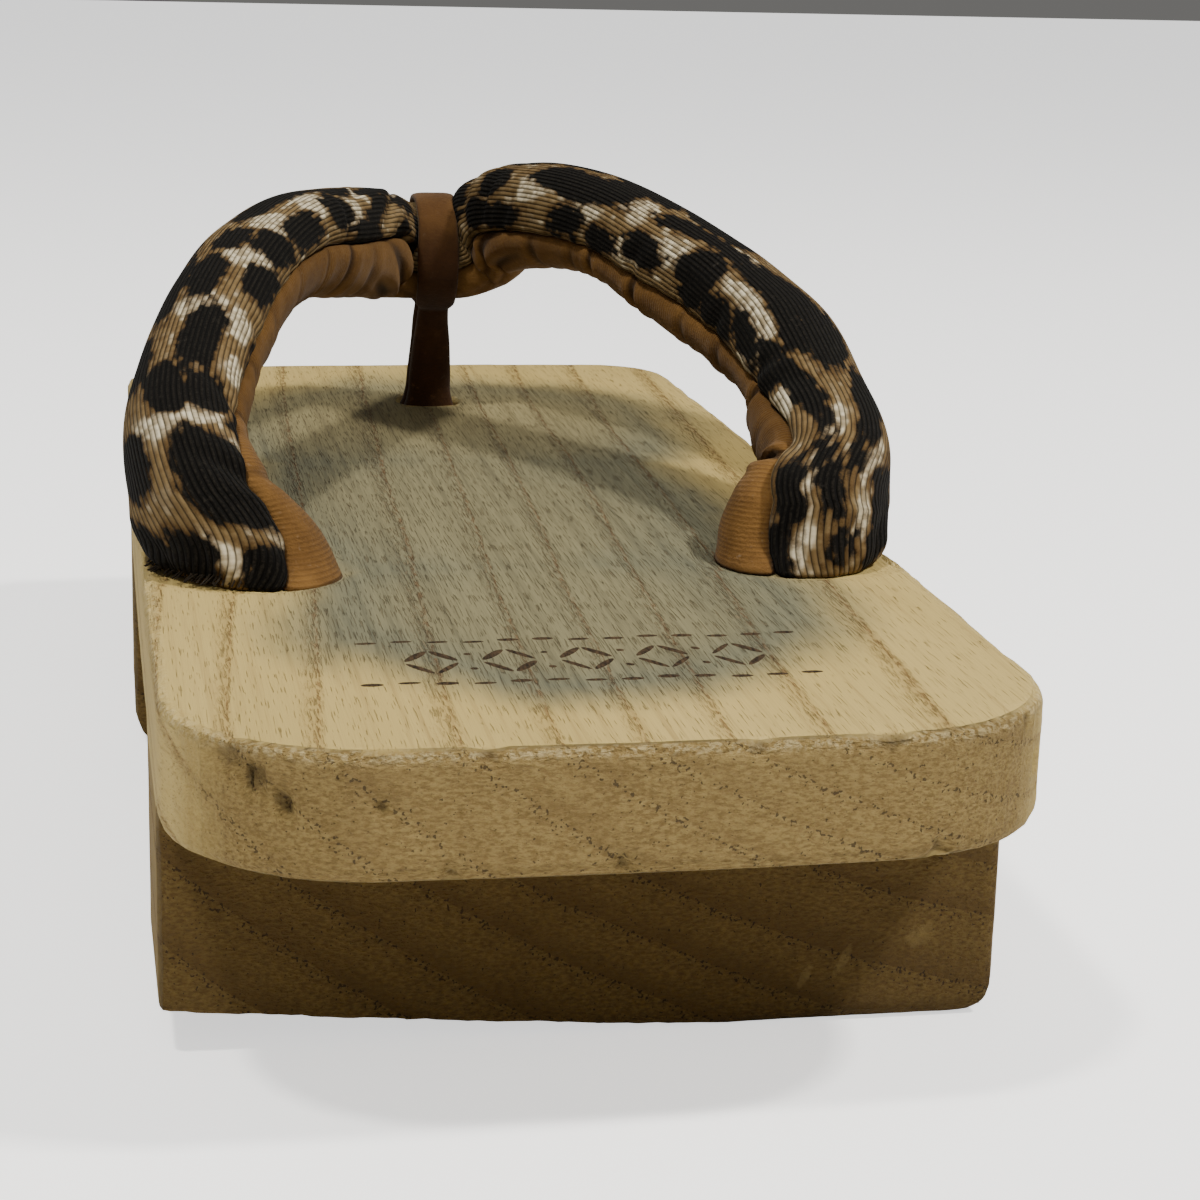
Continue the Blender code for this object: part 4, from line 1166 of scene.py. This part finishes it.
def scatter_tree(name, shape):
    """Puts a shape at each point, turned and stretched by the point's own values."""
    tree, hand, given, made = node_group(
        name, "Geometry", {"Geometry": "Geometry", "Width": "Float", "Depth": "Float", "Unevenness": "Float",
                           "Seed": "Int", "Paint": "Material"}, {"Geometry": "Geometry"})
    heading, half_length = (hand.node("GeometryNodeInputNamedAttribute", {"Name": label})
                            for label in ("heading", "half_length"))
    low, high = hand.less(1.0, given["Unevenness"]), hand.plus(1.0, given["Unevenness"])
    chance = hand.node("FunctionNodeRandomValue", {2: low, 3: high, "Seed": given["Seed"]}, out=1)
    width = hand.times(given["Width"], chance)
    scale = hand.node("ShaderNodeCombineXYZ", {0: half_length, 1: width, 2: given["Depth"]})
    turn = hand.node("ShaderNodeCombineXYZ", {2: heading})
    placed = hand.node("GeometryNodeInstanceOnPoints", {"Points": given["Geometry"], "Instance": shape(hand),
                                                        "Rotation": turn, "Scale": scale})
    real = hand.node("GeometryNodeRealizeInstances", {0: placed})
    painted = hand.node("GeometryNodeSetMaterial", {"Geometry": real, "Material": given["Paint"]})
    hand.feed(made[0], painted)
    return tree


def baked(name, places, tree, values):
    """Runs a node tree on loose points: rows of x, y, z, heading and half length."""
    seeds = bpy.data.meshes.new(name)
    seeds.from_pydata([row[:3] for row in places], [], [])
    for column, label in ((3, "heading"), (4, "half_length")):
        layer = seeds.attributes.new(label, "FLOAT", "POINT")
        layer.data.foreach_set("value", [row[column] for row in places])
    helper = show(name, seeds)
    step = helper.modifiers.new(name, "NODES")
    step.node_group = tree
    sockets = {item.name: item.identifier for item in tree.interface.items_tree if item.in_out == "INPUT"}
    for label, value in values.items():
        step[sockets[label]] = value
    view = bpy.context.evaluated_depsgraph_get()
    mesh = bpy.data.meshes.new_from_object(helper.evaluated_get(view), depsgraph=view)
    helper.modifiers.remove(step)
    bpy.data.objects.remove(helper, do_unlink=True)
    mesh.name = name
    return mesh


def charred():
    """Scorched wood, nearly black to brown in streaks along the grain."""
    paint = material("charred_wood", 0.85, specular=0.2)
    grain = paint.noise(paint.stretch(paint.place(), (1, 0.25, 1)), 2200, 3, 0.6)
    share = paint.span(grain, 0.3, 0.75)
    return paint.finish(paint.mix(share, (0.014, 0.009, 0.005), (0.075, 0.045, 0.022)))


burnt_mesh = baked("burnt_ornament", stroke_places(), scatter_tree("burnt_strokes", lens),
                   {"Width": STROKE_WIDTH, "Depth": STROKE_DEPTH, "Unevenness": 0.28, "Seed": 4,
                    "Paint": charred()})
put("burnt_ornament", burnt_mesh)


# Loose threads: the cover's cut hem has frayed round the left rear hole. Short black
# fibres have come out of the weave there and lie on the deck.
THREAD_COUNT = 90
THREAD_SPREAD = 0.0011
# The ring of the roll that they grow from, of how many, and how deep it is tucked there
THREAD_RINGS = 400
THREAD_RING = 396
THREAD_INSET = 0.0022
THREAD_ARC = (-236, -140)
THREAD_HALF = (0.001, 0.003)


def strand(hand):
    """A fibre that leaves the hem, bends and comes down, one unit long."""
    bend = hand.node("GeometryNodeCurveQuadraticBezier", {"Resolution": 8, "Start": (0, 0, 1),
                                                          "Middle": (0.45, 1.0, 1.2), "End": (1.0, 0.7, 0.1)})
    ring = hand.node("GeometryNodeCurvePrimitiveCircle", {"Resolution": 6, "Radius": 0.08})
    return hand.node("GeometryNodeCurveToMesh", {"Curve": bend, "Profile Curve": ring})


def thread_places():
    """Place, heading and half length of each fibre, round the outer side of the hem."""
    course = strap_course(THREAD_RINGS)
    inset = np.full((THREAD_RINGS, 1), THREAD_INSET)
    draw = random.Random(11)
    places = []
    for _ in range(THREAD_COUNT):
        turn = np.full((THREAD_RINGS, 1), math.radians(draw.uniform(*THREAD_ARC)))
        root = strap_surface(course, turn, inset)[THREAD_RING, 0]
        away = root - course["centre"][THREAD_RING]
        heading = math.atan2(away[1], away[0]) + draw.uniform(-0.8, 0.8)
        places.append((root[0], root[1], DECK_TOP, heading, draw.uniform(*THREAD_HALF)))
    return places


def black_thread():
    """Black cotton, a little browned."""
    paint = material("black_thread", 0.9, specular=0.1)
    shade = paint.noise(paint.place(), 900, 2)
    return paint.finish(paint.mix(shade, (0.004, 0.0035, 0.003), (0.03, 0.022, 0.014)))


threads = baked("loose_threads", thread_places(), scatter_tree("frayed_threads", strand),
                {"Width": THREAD_SPREAD, "Depth": THREAD_SPREAD, "Unevenness": 0.7, "Seed": 9,
                 "Paint": black_thread()})
put("loose_threads", threads)


# Floor and light: a pale sweep under soft lamps overhead, as on a photographer's table.
WARM = (1.0, 0.97, 0.9)
# Name, place, aim, size in metres and power in watts
LAMPS = (("top_lamp", (0.0, 0.05, 1.1), (0, 0, 0), 0.9, 1.4),
         ("left_lamp", (-0.34, -0.3, 0.98), (0, 0, 0.03), 0.1, 7.4),
         ("right_lamp", (0.58, -0.26, 0.9), (0, 0, 0.03), 0.1, 10.0),
         ("front_lamp", (-0.15, -1.0, 0.85), (0, 0, 0.03), 0.7, 2.6))

floor_mesh = bpy.data.meshes.new("floor")
floor_mesh.from_pydata([(-3, -3, 0), (3, -3, 0), (3, 3, 0), (-3, 3, 0)], [], [(0, 1, 2, 3)])
floor = show("floor", floor_mesh)
floor_paint = material("pale_floor", 0.9, specular=0.1)
floor_paint.shader.inputs["Base Color"].default_value = (0.93, 0.93, 0.94, 1)
floor_paint.shader.inputs["Emission Color"].default_value = (1, 1, 1, 1)
seen_directly = floor_paint.node("ShaderNodeLightPath", out=0)
floor_paint.feed(floor_paint.shader.inputs["Emission Strength"], floor_paint.times(seen_directly, 1.1))
floor_mesh.materials.append(floor_paint.made)

for lamp_name, lamp_place, lamp_aim, lamp_size, lamp_power in LAMPS:
    lamp = bpy.data.lights.new(lamp_name, "AREA")
    lamp.size, lamp.energy, lamp.color = lamp_size, lamp_power, WARM
    point(show(lamp_name, lamp), lamp_place, lamp_aim)
world = bpy.data.worlds.new("studio")
world.use_nodes = True
world.node_tree.nodes["Background"].inputs[0].default_value = (1.0, 0.98, 0.94, 1)
world.node_tree.nodes["Background"].inputs[1].default_value = 0.15
bpy.context.scene.world = world
